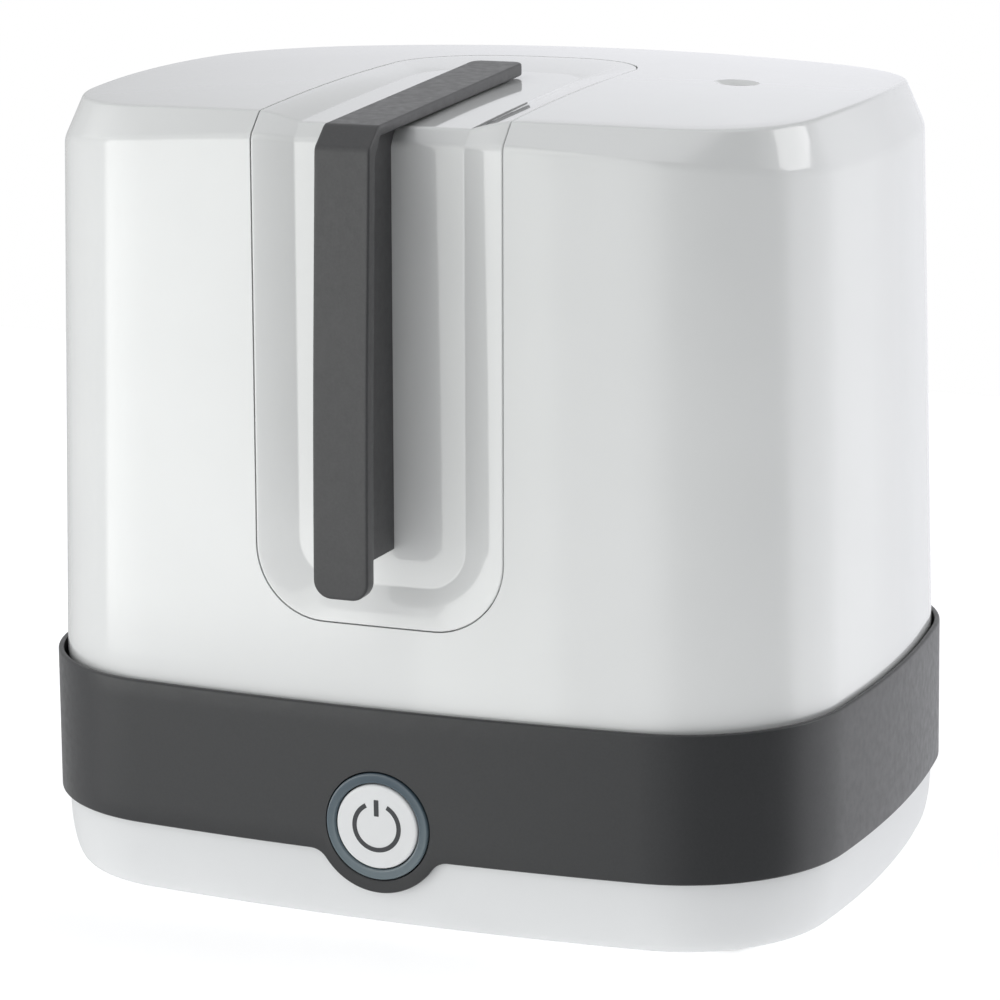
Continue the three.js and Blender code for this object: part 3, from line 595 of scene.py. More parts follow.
def window_cutter(grow):
    """The window that the panel fills, square through the hood's front and top."""
    w = PANEL_HALF_WIDTH + grow
    r = PANEL_CORNER + grow
    rear = PANEL_REAR_CORNER + grow
    low = PANEL_BOTTOM - grow
    back = PANEL_BACK + grow
    above, below = HOOD_TOP + 20 * MM, 240 * MM
    ahead, behind = -150 * MM, -70 * MM
    left_turn = arc((-w + r, low + r), r, 180, 270, 24)
    right_turn = arc((w - r, low + r), r, 270, 360, 24)
    front_outline = np.vstack([left_turn, right_turn, [(w, above), (-w, above)]])
    right_turn = arc((w - rear, back - rear), rear, 0, 90, 24)
    left_turn = arc((-w + rear, back - rear), rear, 90, 180, 24)
    top_outline = np.vstack([[(-w, ahead), (w, ahead)], right_turn, left_turn])
    front = new_object("window_front", *prism(front_outline, ahead, behind, "y"))
    top = new_object("window_top", *prism(top_outline, below, above, "z"))
    return combine(front, [top], "UNION")


def vent_cutter():
    surface = float(crown(VENT_X, VENT_Y))
    low, high = surface - 8 * MM, surface + 4 * MM
    rim = VENT_DISH + 1.2 * MM
    profile = [
        (0, low),
        (VENT_HOLE, low),
        (VENT_HOLE, surface - VENT_DEPTH),
        (VENT_DISH, surface - 0.05 * MM),
        (rim, surface + 0.3 * MM),
        (rim, high),
        (0, high),
    ]
    profile = rounded(profile, [0, 0, 0.5 * MM, 1.6 * MM, 0, 0, 0], steps=6)
    return new_object("vent_cutter", *lathe(profile, centre=(VENT_X, VENT_Y, 0)))


def build_hood(material):
    outer = hood_skin(0.0, HOOD_BOTTOM)
    inner = hood_skin(HOOD_WALL, HOOD_BOTTOM)
    points = np.vstack([inner[::-1], outer])
    count, around = points.shape[:2]
    faces = quads(count, around)
    hood = new_object("hood", points.reshape(-1, 3), faces)
    cut(hood, [window_cutter(PANEL_SEAM), vent_cutter()])
    return piece(hood, "hood", "white_shell", material, "hood_shell")


def trough_profile(share):
    """How deep the trough is, as a share of its full depth, from its border to its floor."""
    return share**1.25


def trough_at(run):
    """The trough's full depth at a run: over the top its floor rises towards the rear."""
    along = (run - FRONT_RUN - CHAMFER_RUN) / (FLOOR_BACK - float(MIDDLE.top_y))
    return TROUGH - FLOOR_RISE * np.clip(along, 0, 1) ** 2


def panel_loops():
    creases = (FRONT_RUN, FRONT_RUN + CHAMFER_RUN)
    floor_start = FLOOR_BOTTOM - PANEL_BOTTOM
    floor_stop = PANEL_RUN - (PANEL_BACK - FLOOR_BACK)
    low = floor_start + FLOOR_HALF_WIDTH + 1 * MM
    high = floor_stop - FLOOR_HALF_WIDTH - 1 * MM
    side_runs = near_creases(creases, low, high, CREASE_ROUNDING * 1.1, 6 * MM)

    def outline(share, grow=0.0):
        """From the panel's edge at 0 to the floor's edge at 1."""
        half = PANEL_HALF_WIDTH + (FLOOR_HALF_WIDTH - PANEL_HALF_WIDTH) * share + grow
        start = floor_start * share - grow
        stop = PANEL_RUN + (floor_stop - PANEL_RUN) * share + grow
        corners = [
            corner + (FLOOR_CORNER - corner) * share + grow for corner in (PANEL_CORNER, PANEL_REAR_CORNER)
        ]
        return strip_loop(half, start, stop, corners, side_runs)

    def inside(share):
        """From the floor's edge at 0 to the spine at 1."""
        inset = FLOOR_HALF_WIDTH * share
        corners = [max(FLOOR_CORNER - inset, 0.0)] * 2
        half = FLOOR_HALF_WIDTH - inset
        return strip_loop(half, floor_start + inset, floor_stop - inset, corners, side_runs)

    fillet = 0.45 * MM
    slope = PANEL_HALF_WIDTH - FLOOR_HALF_WIDTH

    def trough(points, share, extra=0.0):
        return points, extra + trough_at(points[:, 1]) * trough_profile(share)

    loops = [trough(inside(share), 1) for share in (1, 0.85, 0.7, 0.5, 0.3, 0.15, 0.05, 0.02)]
    shares = [1, 0.965, 0.93, 0.88, 0.8, 0.7, 0.6, 0.5, 0.4, 0.3, 0.22, 0.15, 0.1, 0.06]
    loops += [trough(outline(share), share) for share in shares]
    for angle in np.radians(np.linspace(0, 90, 6)):
        share = fillet * (1 - math.sin(angle)) / slope
        loops.append(trough(outline(share), share, fillet * (1 - math.cos(angle))))
    behind = HOOD_WALL + 0.8 * MM
    loops += [
        (outline(0), behind),
        (outline(0, PANEL_FLANGE), behind),
        (outline(0, PANEL_FLANGE), behind + 2 * MM),
        (outline(0, -3 * MM), behind + 2 * MM),
        (outline(0, -3 * MM), PANEL_DEPTH),
    ]
    loops += [(inside(share), PANEL_DEPTH) for share in (0, 0.3, 0.6, 1)]
    return loops


def exact_run(x, run):
    """The run whose place is at the straight-cut outline's own height or depth."""
    path = FrontPath(x)
    from_bottom = run / (path.crease_z - PANEL_BOTTOM) * FRONT_RUN
    back = PANEL_BACK - (PANEL_RUN - run)
    share = (back - path.top_y) / (PANEL_BACK - path.top_y)
    from_back = FRONT_RUN + CHAMFER_RUN + share * TOP_RUN
    end = 45 * MM
    return np.where(run < end, from_bottom, np.where(run > PANEL_RUN - end, from_back, run))


def build_panel(material):
    def place(x, run, depth):
        return panel_point(x, exact_run(x, run), np.broadcast_to(depth, x.shape))

    points, faces = strip_mesh(panel_loops(), place)
    panel = new_object("hood_panel", points, faces)
    return piece(panel, "hood", "white_shell", material, "handle_panel", angle=28)


# The grip's side view: [run, outer y, outer z, inner y, inner z, rounding] at each bend.
GRIP_BENDS = np.array(
    [
        [0, -134.6, 118, -129.3, 118, 0],
        [7, -134.6, 125, -129.3, 125, 6],
        [60, -132.5, 178, -127.3, 178, 30],
        [143, -127, 260.8, -122.6, 257.8, 1.3],
        [153, -119.3, 267.3, -118.6, 263.9, 1.3],
        [274.4, 2, 273.2, 2, 268.9, 0],
    ]
)
GRIP_BENDS *= MM


def grip_point(x, run, depth):
    runs = GRIP_BENDS[:, 0]
    reach = GRIP_BENDS[:, 5]

    def straight(at):
        outer = [np.interp(at, runs, GRIP_BENDS[:, k]) for k in (1, 2)]
        inner = [np.interp(at, runs, GRIP_BENDS[:, k]) for k in (3, 4)]
        return np.stack(outer, axis=-1), np.stack(inner, axis=-1)

    def bent(at):
        sides = list(straight(at))
        for middle, spread in zip(runs[1:-1], reach[1:-1]):
            t = np.clip((at - middle + spread) / (2 * spread), 0, 1)[..., None]
            knots = [straight(np.full_like(at, middle + k * spread)) for k in (-1, 0, 1)]
            near = (np.abs(at - middle) < spread)[..., None]
            for side in (0, 1):
                curve = bend(t, *[knot[side] for knot in knots])
                sides[side] = np.where(near, curve, sides[side])
        return sides

    outer, inner = bent(run)
    share = np.broadcast_to(depth, run.shape)[..., None] / length(inner - outer)
    place = outer + (inner - outer) * share
    return np.stack([x, place[..., 0], place[..., 1]], axis=-1)


def grip_plate():
    runs = GRIP_BENDS[:, 0]
    past_end = GRIP_HALF_WIDTH + 0.5 * MM
    side_runs = near_creases(runs[1:-1], past_end, runs[-1] - past_end, 2 * MM, 5 * MM)
    thickness = length(GRIP_BENDS[:, 1:3] - GRIP_BENDS[:, 3:5])[:, 0]

    def outline(inset):
        corners = [max(corner - inset, 0) for corner in (GRIP_END_CORNER, GRIP_REAR_CORNER)]
        return strip_loop(GRIP_HALF_WIDTH - inset, inset, runs[-1] - inset, corners, side_runs)

    def thick(points):
        return np.interp(points[:, 1], runs, thickness)

    edge = GRIP_EDGE
    loops = [(outline(GRIP_HALF_WIDTH * share), 0.0) for share in (1, 0.65, 0.36, 0.2, 0.13)]
    turns = np.radians(np.linspace(0, 90, 7))
    arc_steps = [(edge * (1 - math.sin(a)), edge * (1 - math.cos(a))) for a in turns]
    loops += [(outline(inset), depth) for inset, depth in arc_steps]
    for inset, depth in reversed(arc_steps):
        points = outline(inset)
        loops.append((points, thick(points) - depth))
    for share in (0.2, 0.45, 1):
        points = outline(GRIP_HALF_WIDTH * share)
        loops.append((points, thick(points)))
    points, faces = strip_mesh(loops, grip_point)
    return new_object("grip", points, faces)


def grip_web():
    """The flat web between the grip's plate and the floor of the trough."""
    plate_runs = np.array([10, 60, 139, 151, 160, 266]) * MM
    plate = grip_point(np.zeros(len(plate_runs)), plate_runs, WEB_OVERLAP)[:, 1:]
    plate = rounded(plate, [0, 20 * MM, 1 * MM, 1 * MM, 0, 0])
    stop = FRONT_RUN + CHAMFER_RUN + WEB_BACK - float(MIDDLE.top_y)
    floor_runs = np.linspace(WEB_BOTTOM - PANEL_BOTTOM, stop, 40)
    floor = panel_point(np.zeros(len(floor_runs)), floor_runs, trough_at(floor_runs) - GAP)[:, 1:]
    outline = np.vstack([plate, floor[::-1]])
    count = len(outline)
    sides = [np.column_stack([np.full(count, x), outline]) for x in (-WEB_HALF_WIDTH, WEB_HALF_WIDTH)]
    caps = [tuple(range(count)), tuple(range(count, 2 * count))]
    return new_object("web", np.vstack(sides), quads(2, count) + caps)


def build_grip(material):
    plate = grip_plate()
    web = grip_web()
    shade(plate.data, 30)
    shade(web.data, 30)
    sources = [SmoothSource(plate.data), SmoothSource(web.data)]
    combine(plate, [web], "UNION")
    keep_smoothness(plate, sources)
    return piece(plate, "hood", "grey_grip", material, "handle_grip")


# ---------- base pieces


def bulge_edge(x):
    """Height of the band's lower edge: straight, but round about the button."""
    drop_to = BUTTON_Z - BAND_BOTTOM + BULGE_FILLET
    fillet_x = math.sqrt((BULGE_RADIUS + BULGE_FILLET) ** 2 - drop_to**2)
    touch = fillet_x * BULGE_RADIUS / (BULGE_RADIUS + BULGE_FILLET)
    x = np.abs(x)
    circle = BUTTON_Z - np.sqrt(np.maximum(BULGE_RADIUS**2 - x**2, 0))
    fillet = BAND_BOTTOM - BULGE_FILLET
    fillet = fillet + np.sqrt(np.maximum(BULGE_FILLET**2 - (x - fillet_x) ** 2, 0))
    return np.where(x < touch, circle, np.where(x < fillet_x, fillet, BAND_BOTTOM))


def rod_cutter(radius, low, high, axis, centre):
    """A plain round cutter along y or z."""
    profile = [(0, low), (radius, low), (radius, high), (0, high)]
    return new_object("cutter", *lathe(profile, 96, axis, centre))


def button_cutter(radius, edge=0.0, surface=-HALF_DEPTH):
    """A round cutter through the front, which can also break the hole's edge."""
    ahead, behind = -130 * MM, -80 * MM
    profile = [(0, behind), (radius, behind), (radius, surface + edge)]
    if edge:
        for a in np.radians(np.linspace(0, 78, 6))[1:]:
            profile.append((radius + edge * (1 - math.cos(a)), surface + edge * (1 - math.sin(a))))
    profile += [(profile[-1][0] + (0.6 * MM if edge else 0), ahead), (0, ahead)]
    return new_object("button_cutter", *lathe(profile, axis="y", centre=(0, 0, BUTTON_Z), segments=128))


def build_band(material):
    edge = BAND_EDGE
    steps = (14, 26, 92)
    flat = band_outline(0, steps)
    on_front = flat[:, 1] < -HALF_DEPTH / 2
    low_edge = np.where(on_front, bulge_edge(flat[:, 0]), BAND_BOTTOM)

    def ring(inset, from_bottom=None, from_top=None):
        z = np.full(len(flat), BAND_TOP - from_top) if from_bottom is None else low_edge + from_bottom
        flare = BAND_FLARE * (BAND_TOP - z) / (BAND_TOP - BAND_BOTTOM)
        outer = band_outline(inset, steps)
        centre_push = outer / length(outer) * flare[:, None]
        return np.column_stack([outer + centre_push, z])

    def corner(turns):
        return [(edge * (1 - math.cos(a)), edge * (1 - math.sin(a))) for a in np.radians(turns)]

    corner_steps = corner(np.linspace(0, 90, 6))
    rings = [ring(inset, from_bottom=rise) for inset, rise in reversed(corner_steps)]
    low, high = rings[-1], ring(0, from_top=edge)
    rings += [low + (high - low) * share for share in np.linspace(0, 1, 9)[1:-1]]
    rings += [ring(inset, from_top=rise) for inset, rise in corner_steps]
    inner = BAND_WALL
    rings += [ring(inner - 0.3 * MM, from_top=0), ring(inner, from_top=0.3 * MM)]
    rings += [ring(inner, from_bottom=0.3 * MM), ring(inner - 0.3 * MM, from_bottom=0)]
    band = new_object("band", *loft(rings, wrap=True))
    surface = -HALF_DEPTH - BAND_FLARE * 0.8
    cut(band, [button_cutter(RING_OUTER + GAP, 0.5 * MM, surface)])
    return piece(band, "root", "grey_band", material, "base_band")


def build_lower_shell(material):
    turns = np.radians(np.linspace(0, 90, 14))
    curve = [
        (BASE_INSET + BASE_CURVE_IN * (1 - math.sin(a)), BASE_CURVE_UP * (1 - math.cos(a))) for a in turns
    ]
    inner_wall = BASE_INSET + BASE_WALL
    edge = 0.3 * MM
    profile = [
        (BASE_INSET + BASE_CURVE_IN + BASE_RIM, 0),
        *curve,
        (BASE_INSET, BASE_TOP),
        (inner_wall, BASE_TOP),
        (inner_wall, BASE_WALL_FOOT),
        (BASE_FLOOR_INSET, BASE_FLOOR),
        (BASE_LEDGE_INSET, BASE_FLOOR),
        (BASE_LEDGE_INSET, BASE_LEDGE),
        (BASE_OPENING_INSET, BASE_LEDGE),
        (BASE_OPENING_INSET, edge),
        (BASE_OPENING_INSET - edge, 0),
    ]
    shell = new_object("lower_shell", *loft(profile_rings(profile, band_outline), wrap=True))
    feet = [rod_cutter(FOOT_RADIUS + GAP, -1 * MM, FOOT_POCKET, "z", (x, y, 0)) for x, y in FOOT_PLACES]
    inlet = rod_cutter(BUSHING_RADIUS, 80 * MM, 130 * MM, "y", (BUSHING_X, 0, BUSHING_Z))
    cut(shell, [button_cutter(RING_OUTER + 0.8 * MM), inlet, *feet])
    return piece(shell, "root", "white_shell", material, "base_shell")


def build_feet(material):
    low = level("foot_1", False)
    high = level("foot_1", True)
    profile = rounded(
        [(0, low), (3 * MM, low), (FOOT_RADIUS, low), (FOOT_RADIUS, high), (0, high)],
        [0, 0, 0.6 * MM, 0.15 * MM, 0],
    )
    for number, (x, y) in enumerate(FOOT_PLACES, 1):
        foot = new_object(f"foot_pad_{number}", *lathe(profile, 64, centre=(x, y, 0)))
        piece(foot, "root", "rubber", material, f"foot_{number}")


def build_button(cap_material, ring_material, print_material):
    front = CAP_FRONT
    back = span("power_button")[1][1] - ORIGIN[1]
    cap_profile = rounded(
        [
            (0, front),
            (CAP_RADIUS, front),
            (CAP_RADIUS, front + CAP_DEPTH),
            (CAP_RADIUS - CAP_WALL, front + CAP_DEPTH),
            (CAP_RADIUS - CAP_WALL, front + CAP_FACE),
            (STEM_RADIUS, front + CAP_FACE),
            (STEM_RADIUS, back),
            (0, back),
        ],
        [0, 1.1 * MM, 0.2 * MM, 0.2 * MM, 0.4 * MM, 0.4 * MM, 0.2 * MM, 0],
        steps=6,
    )
    cap = new_object("button_cap", *lathe(cap_profile, 128, "y", (0, 0, BUTTON_Z)))
    piece(cap, "button", "white_shell", cap_material, "power_button")

    corners = [
        (RING_INNER, RING_FRONT),
        (RING_OUTER, RING_FRONT),
        (RING_OUTER, RING_BACK),
        (RING_INNER, RING_BACK),
    ]
    ring_profile = rounded(corners, [0.7 * MM, 0.7 * MM, 0.1 * MM, 0.1 * MM], steps=6, closed=True)
    ring = new_object("lamp_ring", *lathe(ring_profile, 128, "y", (0, 0, BUTTON_Z)))
    piece(ring, "root", "light_lens", ring_material, "light_ring")
    build_symbol(print_material)


def build_symbol(material):
    """The power symbol, printed on the cap: an open ring and a bar."""
    front = CAP_FRONT - 0.06 * MM
    back = CAP_FRONT + 0.1 * MM
    radius = 7.9 * MM
    half_stroke = 0.78 * MM
    half_gap = 28
    start, stop = 90 + half_gap, 450 - half_gap
    centre = np.array([0, BUTTON_Z])
    inner = arc(centre, radius - half_stroke, start, stop, 90)
    outer = arc(centre, radius + half_stroke, start, stop, 90)
    corners = [(outer, front), (outer, back), (inner, back), (inner, front)]
    columns = [np.column_stack([line[:, 0], np.full(len(line), y), line[:, 1]]) for line, y in corners]
    ring = new_object("power_symbol_ring", *loft(np.stack(columns, axis=1)))
    piece(ring, "button", "grey_grip", material)
    half, low, high = 0.85 * MM, 3.6 * MM, 9.2 * MM
    bar = rounded([(-half, low), (half, low), (half, high), (-half, high)], 0.25 * MM, 4, closed=True)
    bar = new_object("power_symbol_bar", *prism(bar + centre, front, back, "y"))
    piece(bar, "button", "grey_grip", material)


# ---------- materials


class Finish:
    """A material's node tree, with short calls for the nodes that the finishes share."""

    def __init__(self, name, **uniform):
        self.material = bpy.data.materials.new(name)
        self.material.use_nodes = True
        self.tree = self.material.node_tree
        self.shader = self.tree.nodes["Principled BSDF"]
        for socket, value in uniform.items():
            self.shader.inputs[socket.replace("_", " ")].default_value = value
        self.place = self.tree.nodes.new("ShaderNodeTexCoord").outputs["Object"]

    def node(self, kind, settings=None, **inputs):
        made = self.tree.nodes.new(kind)
        for key, value in (settings or {}).items():
            setattr(made, key, value)
        for key, value in inputs.items():
            socket = made.inputs[key.replace("_", " ")]
            if isinstance(value, bpy.types.NodeSocket):
                self.tree.links.new(value, socket)
            else:
                socket.default_value = value
        return made

    def noise(self, size, detail=2.0, roughness=0.5):
        made = self.node("ShaderNodeTexNoise", Scale=1 / size, Detail=detail, Roughness=roughness)
        self.tree.links.new(self.place, made.inputs["Vector"])
        return made.outputs["Fac"]

    def scaled(self, value, low, high, start=0.3, stop=0.7):
        """A texture's values brought from the range start to stop into the range low to high."""
        limits = {"From_Min": start, "From_Max": stop, "To_Min": low, "To_Max": high}
        return self.node("ShaderNodeMapRange", {"clamp": True}, Value=value, **limits).outputs["Result"]

    def colours(self, share, first, second):
        mix = self.node("ShaderNodeMix", {"data_type": "RGBA"})
        self.tree.links.new(share, mix.inputs["Factor"])
        mix.inputs[6].default_value = (*first, 1)
        mix.inputs[7].default_value = (*second, 1)
        return mix.outputs[2]

    def colour(self, socket):
        self.tree.links.new(socket, self.shader.inputs["Base Color"])

    def roughness(self, socket):
        self.tree.links.new(socket, self.shader.inputs["Roughness"])

    def bump(self, height, distance, strength=1.0):
        made = self.node("ShaderNodeBump", Height=height, Distance=distance, Strength=strength)
        self.tree.links.new(made.outputs["Normal"], self.shader.inputs["Normal"])


def gloss_white():
    """Glossy moulded white: nearly even, with a faint waviness in the skin."""
    f = Finish("gloss_white", Specular_IOR_Level=0.5, Coat_Weight=1.0, Coat_Roughness=0.03)
    f.colour(f.colours(f.scaled(f.noise(60 * MM), 0, 1), (0.805, 0.815, 0.81), (0.83, 0.84, 0.835)))
    f.roughness(f.scaled(f.noise(25 * MM, 3), 0.10, 0.15))
    f.bump(f.noise(14 * MM, 1), 0.012 * MM)
    return f.material


def satin_white():
    """The base's white: the same plastic with a softer skin."""
    f = Finish("satin_white", Specular_IOR_Level=0.5)
    f.colour(f.colours(f.scaled(f.noise(50 * MM), 0, 1), (0.79, 0.80, 0.805), (0.82, 0.83, 0.835)))
    f.roughness(f.scaled(f.noise(20 * MM, 3), 0.29, 0.34))
    f.bump(f.noise(9 * MM, 1), 0.012 * MM)
    return f.material


def satin_grey(name, light, dark, roughness, grain):
    """Satin dark grey plastic with a fine moulded grain."""
    f = Finish(name, Specular_IOR_Level=0.5)
    f.colour(f.colours(f.scaled(f.noise(0.9 * MM, 4, 0.7), 0, 1), dark, light))
    f.roughness(f.scaled(f.noise(3 * MM, 3), roughness - 0.04, roughness + 0.05))
    f.bump(f.noise(0.35 * MM, 3, 0.6), grain)
    return f.material


def tinted_lens_painted_light():
    """The lamp ring's translucent tint with painted light: lighter at the bottom, where its lamps sit."""
    f = Finish("tinted_lens_painted_light", Specular_IOR_Level=0.6, Coat_Weight=0.6, Coat_Roughness=0.05)
    height = f.node("ShaderNodeSeparateXYZ", Vector=f.place).outputs["Z"]
    low = float(ORIGIN[2]) + BUTTON_Z - RING_OUTER
    high = float(ORIGIN[2]) + BUTTON_Z + RING_OUTER
    share = f.scaled(height, 0, 1, low, high)
    # painted light: the ring's colour is lighter at the bottom than at the top
    f.colour(f.colours(share, (0.13, 0.17, 0.19), (0.045, 0.075, 0.1)))
    f.roughness(f.scaled(f.noise(2 * MM), 0.16, 0.24))
    return f.material


def printed_ink():
    f = Finish("printed_ink")
    f.colour(f.colours(f.scaled(f.noise(0.5 * MM, 3), 0, 1), (0.045, 0.048, 0.052), (0.058, 0.06, 0.066)))
    f.roughness(f.scaled(f.noise(1 * MM), 0.4, 0.5))
    return f.material


def dull_rubber():
    f = Finish("dull_rubber", Specular_IOR_Level=0.35)
    f.colour(f.colours(f.scaled(f.noise(2 * MM, 4), 0, 1), (0.022, 0.022, 0.023), (0.035, 0.035, 0.037)))
    f.roughness(f.scaled(f.noise(1.5 * MM), 0.7, 0.85))
    f.bump(f.noise(0.4 * MM, 3), 0.02 * MM)
    return f.material


def moulded(name, light, dark, roughness=0.5):
    """Plain moulded plastic for parts inside."""
    f = Finish(name, Specular_IOR_Level=0.45)
    f.colour(f.colours(f.scaled(f.noise(12 * MM, 3), 0, 1), dark, light))
    f.roughness(f.scaled(f.noise(4 * MM, 3), roughness - 0.05, roughness + 0.06))
    f.bump(f.noise(0.5 * MM, 3), 0.01 * MM)
    return f.material


def brushed_metal(name, light, dark, roughness, stretch):
    """Metal with fine marks: lines along y, or an even mottle, as stretch sets."""
    f = Finish(name, Metallic=1.0)
    scale = f.node("ShaderNodeMapping", {"vector_type": "POINT"}, Vector=f.place, Scale=stretch)
    marks = f.node("ShaderNodeTexNoise", Vector=scale.outputs["Vector"], Scale=1 / MM, Detail=4.0)
    f.colour(f.colours(f.scaled(marks.outputs["Fac"], 0, 1), dark, light))
    f.roughness(f.scaled(marks.outputs["Fac"], roughness - 0.06, roughness + 0.08))
    f.bump(marks.outputs["Fac"], 0.01 * MM)
    return f.material


def solder_mask():
    """Green board with faint copper runs under its lacquer."""
    f = Finish("solder_mask", Specular_IOR_Level=0.5)
    runs = f.node("ShaderNodeTexVoronoi", {"distance": "CHEBYCHEV", "feature": "F1"}, Scale=1 / (5 * MM))
    f.tree.links.new(f.place, runs.inputs["Vector"])
    share = f.scaled(runs.outputs["Distance"], 0, 1, 0.3, 0.36)
    f.colour(f.colours(share, (0.02, 0.12, 0.05), (0.03, 0.19, 0.075)))
    f.roughness(f.scaled(f.noise(3 * MM), 0.32, 0.42))
    return f.material


def floor_finish():
    f = Finish("studio_floor", Roughness=0.6, Specular_IOR_Level=0.2)
    f.colour(f.colours(f.scaled(f.noise(0.9, 2), 0, 1), (0.86, 0.86, 0.865), (0.88, 0.88, 0.885)))
    f.shader.inputs["Emission Color"].default_value = (1, 1, 1, 1)
    f.shader.inputs["Emission Strength"].default_value = 0.5
    return f.material


WHITE = gloss_white()
BASE_WHITE = satin_white()
GRIP_GREY = satin_grey("grip_grey", (0.066, 0.066, 0.068), (0.055, 0.055, 0.057), 0.34, 0.02 * MM)
BAND_GREY = satin_grey("band_grey", (0.042, 0.043, 0.045), (0.036, 0.037, 0.039), 0.33, 0.012 * MM)
BY_SLOT = {
    "white_shell": BASE_WHITE,
    "grey_band": BAND_GREY,
    "grey_grip": GRIP_GREY,
    "grey_plastic": moulded("pale_grey_plastic", (0.40, 0.42, 0.44), (0.34, 0.36, 0.38), 0.45),
    "black_plastic": moulded("black_plastic", (0.022, 0.022, 0.024), (0.016, 0.016, 0.018), 0.5),
    "rubber": dull_rubber(),
    "steel": brushed_metal("stainless", (0.66, 0.67, 0.68), (0.52, 0.53, 0.54), 0.36, (1.0, 0.08, 1.0)),
    "aluminium": brushed_metal("aluminium", (0.68, 0.69, 0.71), (0.58, 0.59, 0.61), 0.42, (0.3, 0.3, 0.3)),
    "light_lens": tinted_lens_painted_light(),
    "circuit_board": solder_mask(),
    "relay_case": moulded("relay_blue", (0.035, 0.15, 0.38), (0.028, 0.12, 0.32), 0.4),
    "wire_sheath": moulded("sheath", (0.72, 0.70, 0.63), (0.66, 0.64, 0.57), 0.5),
}


SLOTS = {entry["node"]: entry["material_slot"] for entry in frame["record"]["subparts"]}


def finish_frame():
    """Every CAD node that stays visible gets the procedural finish of its slot."""
    for name, obj in frame["nodes"].items():
        material = BY_SLOT[SLOTS[name]]
        if not obj.material_slots:
            obj.data.materials.append(material)
        for place in obj.material_slots:
            place.material = material


INNER_PARTS = {
    "root": ["base_deck", "heater_plate", "cord_bushing", "bottom_cover"],
    "basket": ["bottle_basket", "bottle_divider", "tray_post"],
    "tray": ["accessory_tray", "tray_knob"],
}


def build_inner():
    """The parts that show with the hood off, from behind or below: their round walls shaded smoothly."""
    for body, nodes in INNER_PARTS.items():
        for node in nodes:
            source = frame["nodes"][node]
            mesh = source.data.copy()
            bm = bmesh.new()
            bm.from_mesh(mesh)
            bm.transform(source.matrix_world)
            bmesh.ops.remove_doubles(bm, verts=bm.verts, dist=1e-6)
            bm.to_mesh(mesh)
            bm.free()
            if mesh.has_custom_normals:
                mesh.attributes.remove(mesh.attributes["custom_normal"])
            slot = SLOTS[node]
            piece(linked(f"{node}_smooth", mesh), body, slot, BY_SLOT[slot], node, angle=32)


# ---------- stage


def build_floor():
    """A plain pale floor that glossy surfaces don't reflect."""
    size = 0.8
    corners = [(-size, -size, 0), (size, -size, 0), (size, size, 0), (-size, size, 0)]
    mesh = bpy.data.meshes.new("studio_floor")
    mesh.from_pydata(corners, [], [(0, 1, 2, 3)])
    floor = linked("studio_floor", mesh)
    mesh.materials.append(floor_finish())
    floor.visible_glossy = False


def aim(obj, place, target, roll=0.0):
    """Points an object's -Z axis at the target, turned about that axis by roll degrees."""
    direction = Vector(target) - Vector(place)
    obj.location = place
    turn = direction.to_track_quat("-Z", "Y").to_matrix().to_4x4()
    obj.rotation_euler = (turn @ Matrix.Rotation(math.radians(roll), 4, "Z")).to_euler()


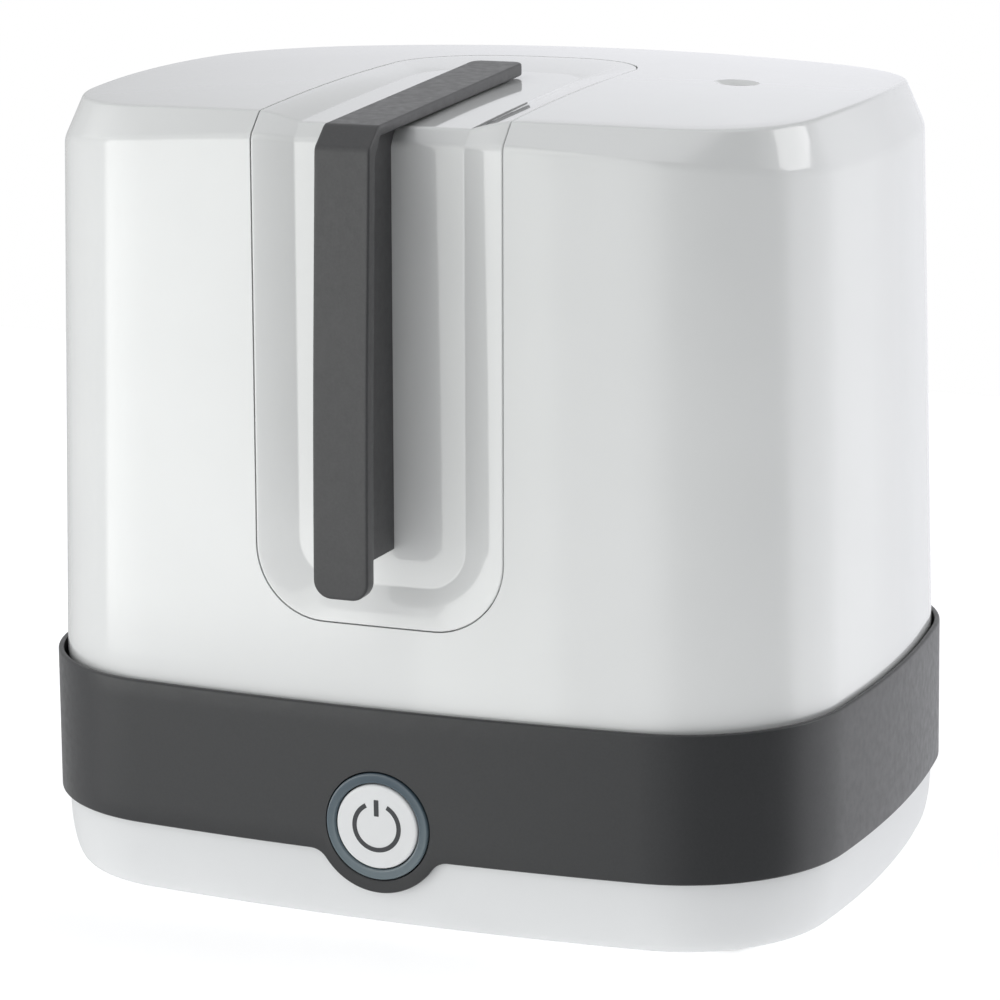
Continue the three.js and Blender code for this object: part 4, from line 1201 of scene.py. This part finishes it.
class Surroundings:
    """Soft light from all round: an even ambient and large soft-edged panels, by direction."""

    def __init__(self, ambient):
        world = bpy.data.worlds.new("studio")
        bpy.context.scene.world = world
        world.use_nodes = True
        self.tree = world.node_tree
        place = self.tree.nodes.new("ShaderNodeTexCoord").outputs["Generated"]
        parts = self.tree.nodes.new("ShaderNodeSeparateXYZ")
        self.tree.links.new(place, parts.inputs[0])
        self.x, self.y, self.z = parts.outputs
        self.azimuth = self.math("ARCTAN2", self.x, self.math("MULTIPLY", self.y, -1.0))
        self.elevation = self.math("ARCSINE", self.z)
        self.total = self.tree.nodes.new("ShaderNodeRGB").outputs[0]
        self.total.default_value = (*ambient, 1)

    def math(self, operation, *values):
        node = self.tree.nodes.new("ShaderNodeMath")
        node.operation = operation
        for socket, value in zip(node.inputs, values):
            if isinstance(value, bpy.types.NodeSocket):
                self.tree.links.new(value, socket)
            else:
                socket.default_value = value
        return node.outputs[0]

    def band(self, angle, centre, half, soft, wraps):
        """1 where the angle lies within half of the centre, falling to 0 over the soft edge."""
        away = self.math("SUBTRACT", angle, math.radians(centre))
        if wraps:
            away = self.math("WRAP", away, math.pi, -math.pi)
        away = self.math("ABSOLUTE", away)
        edge = self.tree.nodes.new("ShaderNodeMapRange")
        edge.interpolation_type = "SMOOTHSTEP"
        self.tree.links.new(away, edge.inputs["Value"])
        limits = (math.radians(half - soft / 2), math.radians(half + soft / 2), 1.0, 0.0)
        for name, value in zip(("From Min", "From Max", "To Min", "To Max"), limits):
            edge.inputs[name].default_value = value
        return edge.outputs["Result"]

    def panel(self, azimuths, elevations, light, soft=(4, 4)):
        """Adds light, or takes it away, between two azimuths (0 is the front) and two elevations."""
        middle, half = sum(azimuths) / 2, (azimuths[1] - azimuths[0]) / 2
        height, rise = sum(elevations) / 2, (elevations[1] - elevations[0]) / 2
        mask = self.math(
            "MULTIPLY",
            self.band(self.azimuth, middle, half, soft[0], True),
            self.band(self.elevation, height, rise, soft[1], False),
        )
        total = self.tree.nodes.new("ShaderNodeVectorMath")
        total.operation = "MULTIPLY_ADD"
        total.inputs[0].default_value = light
        self.tree.links.new(mask, total.inputs[1])
        self.tree.links.new(self.total, total.inputs[2])
        self.total = total.outputs[0]

    def finish(self):
        """The camera itself sees plain white behind the object."""
        seen = self.tree.nodes["Background"]
        seen.inputs["Color"].default_value = (1, 1, 1, 1)
        lit = self.tree.nodes.new("ShaderNodeBackground")
        self.tree.links.new(self.total, lit.inputs["Color"])
        mix = self.tree.nodes.new("ShaderNodeMixShader")
        rays = self.tree.nodes.new("ShaderNodeLightPath")
        self.tree.links.new(rays.outputs["Is Camera Ray"], mix.inputs[0])
        self.tree.links.new(lit.outputs[0], mix.inputs[1])
        self.tree.links.new(seen.outputs[0], mix.inputs[2])
        self.tree.links.new(mix.outputs[0], self.tree.nodes["World Output"].inputs["Surface"])


def build_lights():
    """A bright strip low at the front left, a panel at the back right, and a dark front right."""
    studio = Surroundings((0.55, 0.555, 0.56))
    studio.panel((-72, -22), (-13, 12), (1.6, 1.62, 1.58), soft=(6, 1.5))
    studio.panel((-22, -14), (-40, 60), (0.75, 0.77, 0.73), soft=(1.5, 4))
    studio.panel((-110, 10), (14, 54), (0.42, 0.42, 0.42), soft=(16, 12))
    studio.panel((14, 94), (-60, 66), (-0.42, -0.42, -0.42), soft=(20, 12))
    studio.panel((100, 206), (-60, 20), (0.34, 0.34, 0.37), soft=(20, 16))
    studio.panel((98, 158), (-40, 50), (0.3, 0.3, 0.3), soft=(16, 12))
    studio.panel((104, 132), (19, 42), (2.0, 2.0, 2.0), soft=(2, 2))
    studio.panel((-180, 180), (66, 120), (0.42, 0.42, 0.44), soft=(4, 20))
    studio.finish()


CAMERA_AZIMUTH = 22.44
CAMERA_ELEVATION = 13.39
CAMERA_ROLL = -0.63
CAMERA_DISTANCE = 1.3313
CAMERA_LENS = 137.75
AIM_HEIGHT = 120 * MM
AIM_RIGHT = -0.58 * MM
AIM_UP = 0.5 * MM


def build_camera():
    """The photograph's view: slightly from the right and from above, through a long lens."""
    az, el = math.radians(CAMERA_AZIMUTH), math.radians(CAMERA_ELEVATION)
    back = Vector((math.sin(az) * math.cos(el), -math.cos(az) * math.cos(el), math.sin(el)))
    right = Vector((math.cos(az), math.sin(az), 0))
    up = back.cross(right)
    middle = Vector((0, 0, AIM_HEIGHT)) + Vector(ORIGIN)
    target = middle + right * AIM_RIGHT + up * AIM_UP
    camera = linked("camera", bpy.data.cameras.new("camera"))
    camera.data.lens = CAMERA_LENS
    camera.data.sensor_width = 36
    camera.data.clip_end = 50
    aim(camera, target + back * CAMERA_DISTANCE, target, CAMERA_ROLL)
    bpy.context.scene.camera = camera
    bpy.context.scene.view_settings.view_transform = "Standard"


# ---------- assembly

build_camera()
build_lights()
build_floor()
finish_frame()

build_hood(WHITE)
build_panel(WHITE)
build_grip(GRIP_GREY)
build_band(BAND_GREY)
build_lower_shell(BASE_WHITE)
build_feet(BY_SLOT["rubber"])
build_button(BASE_WHITE, BY_SLOT["light_lens"], printed_ink())
build_inner()
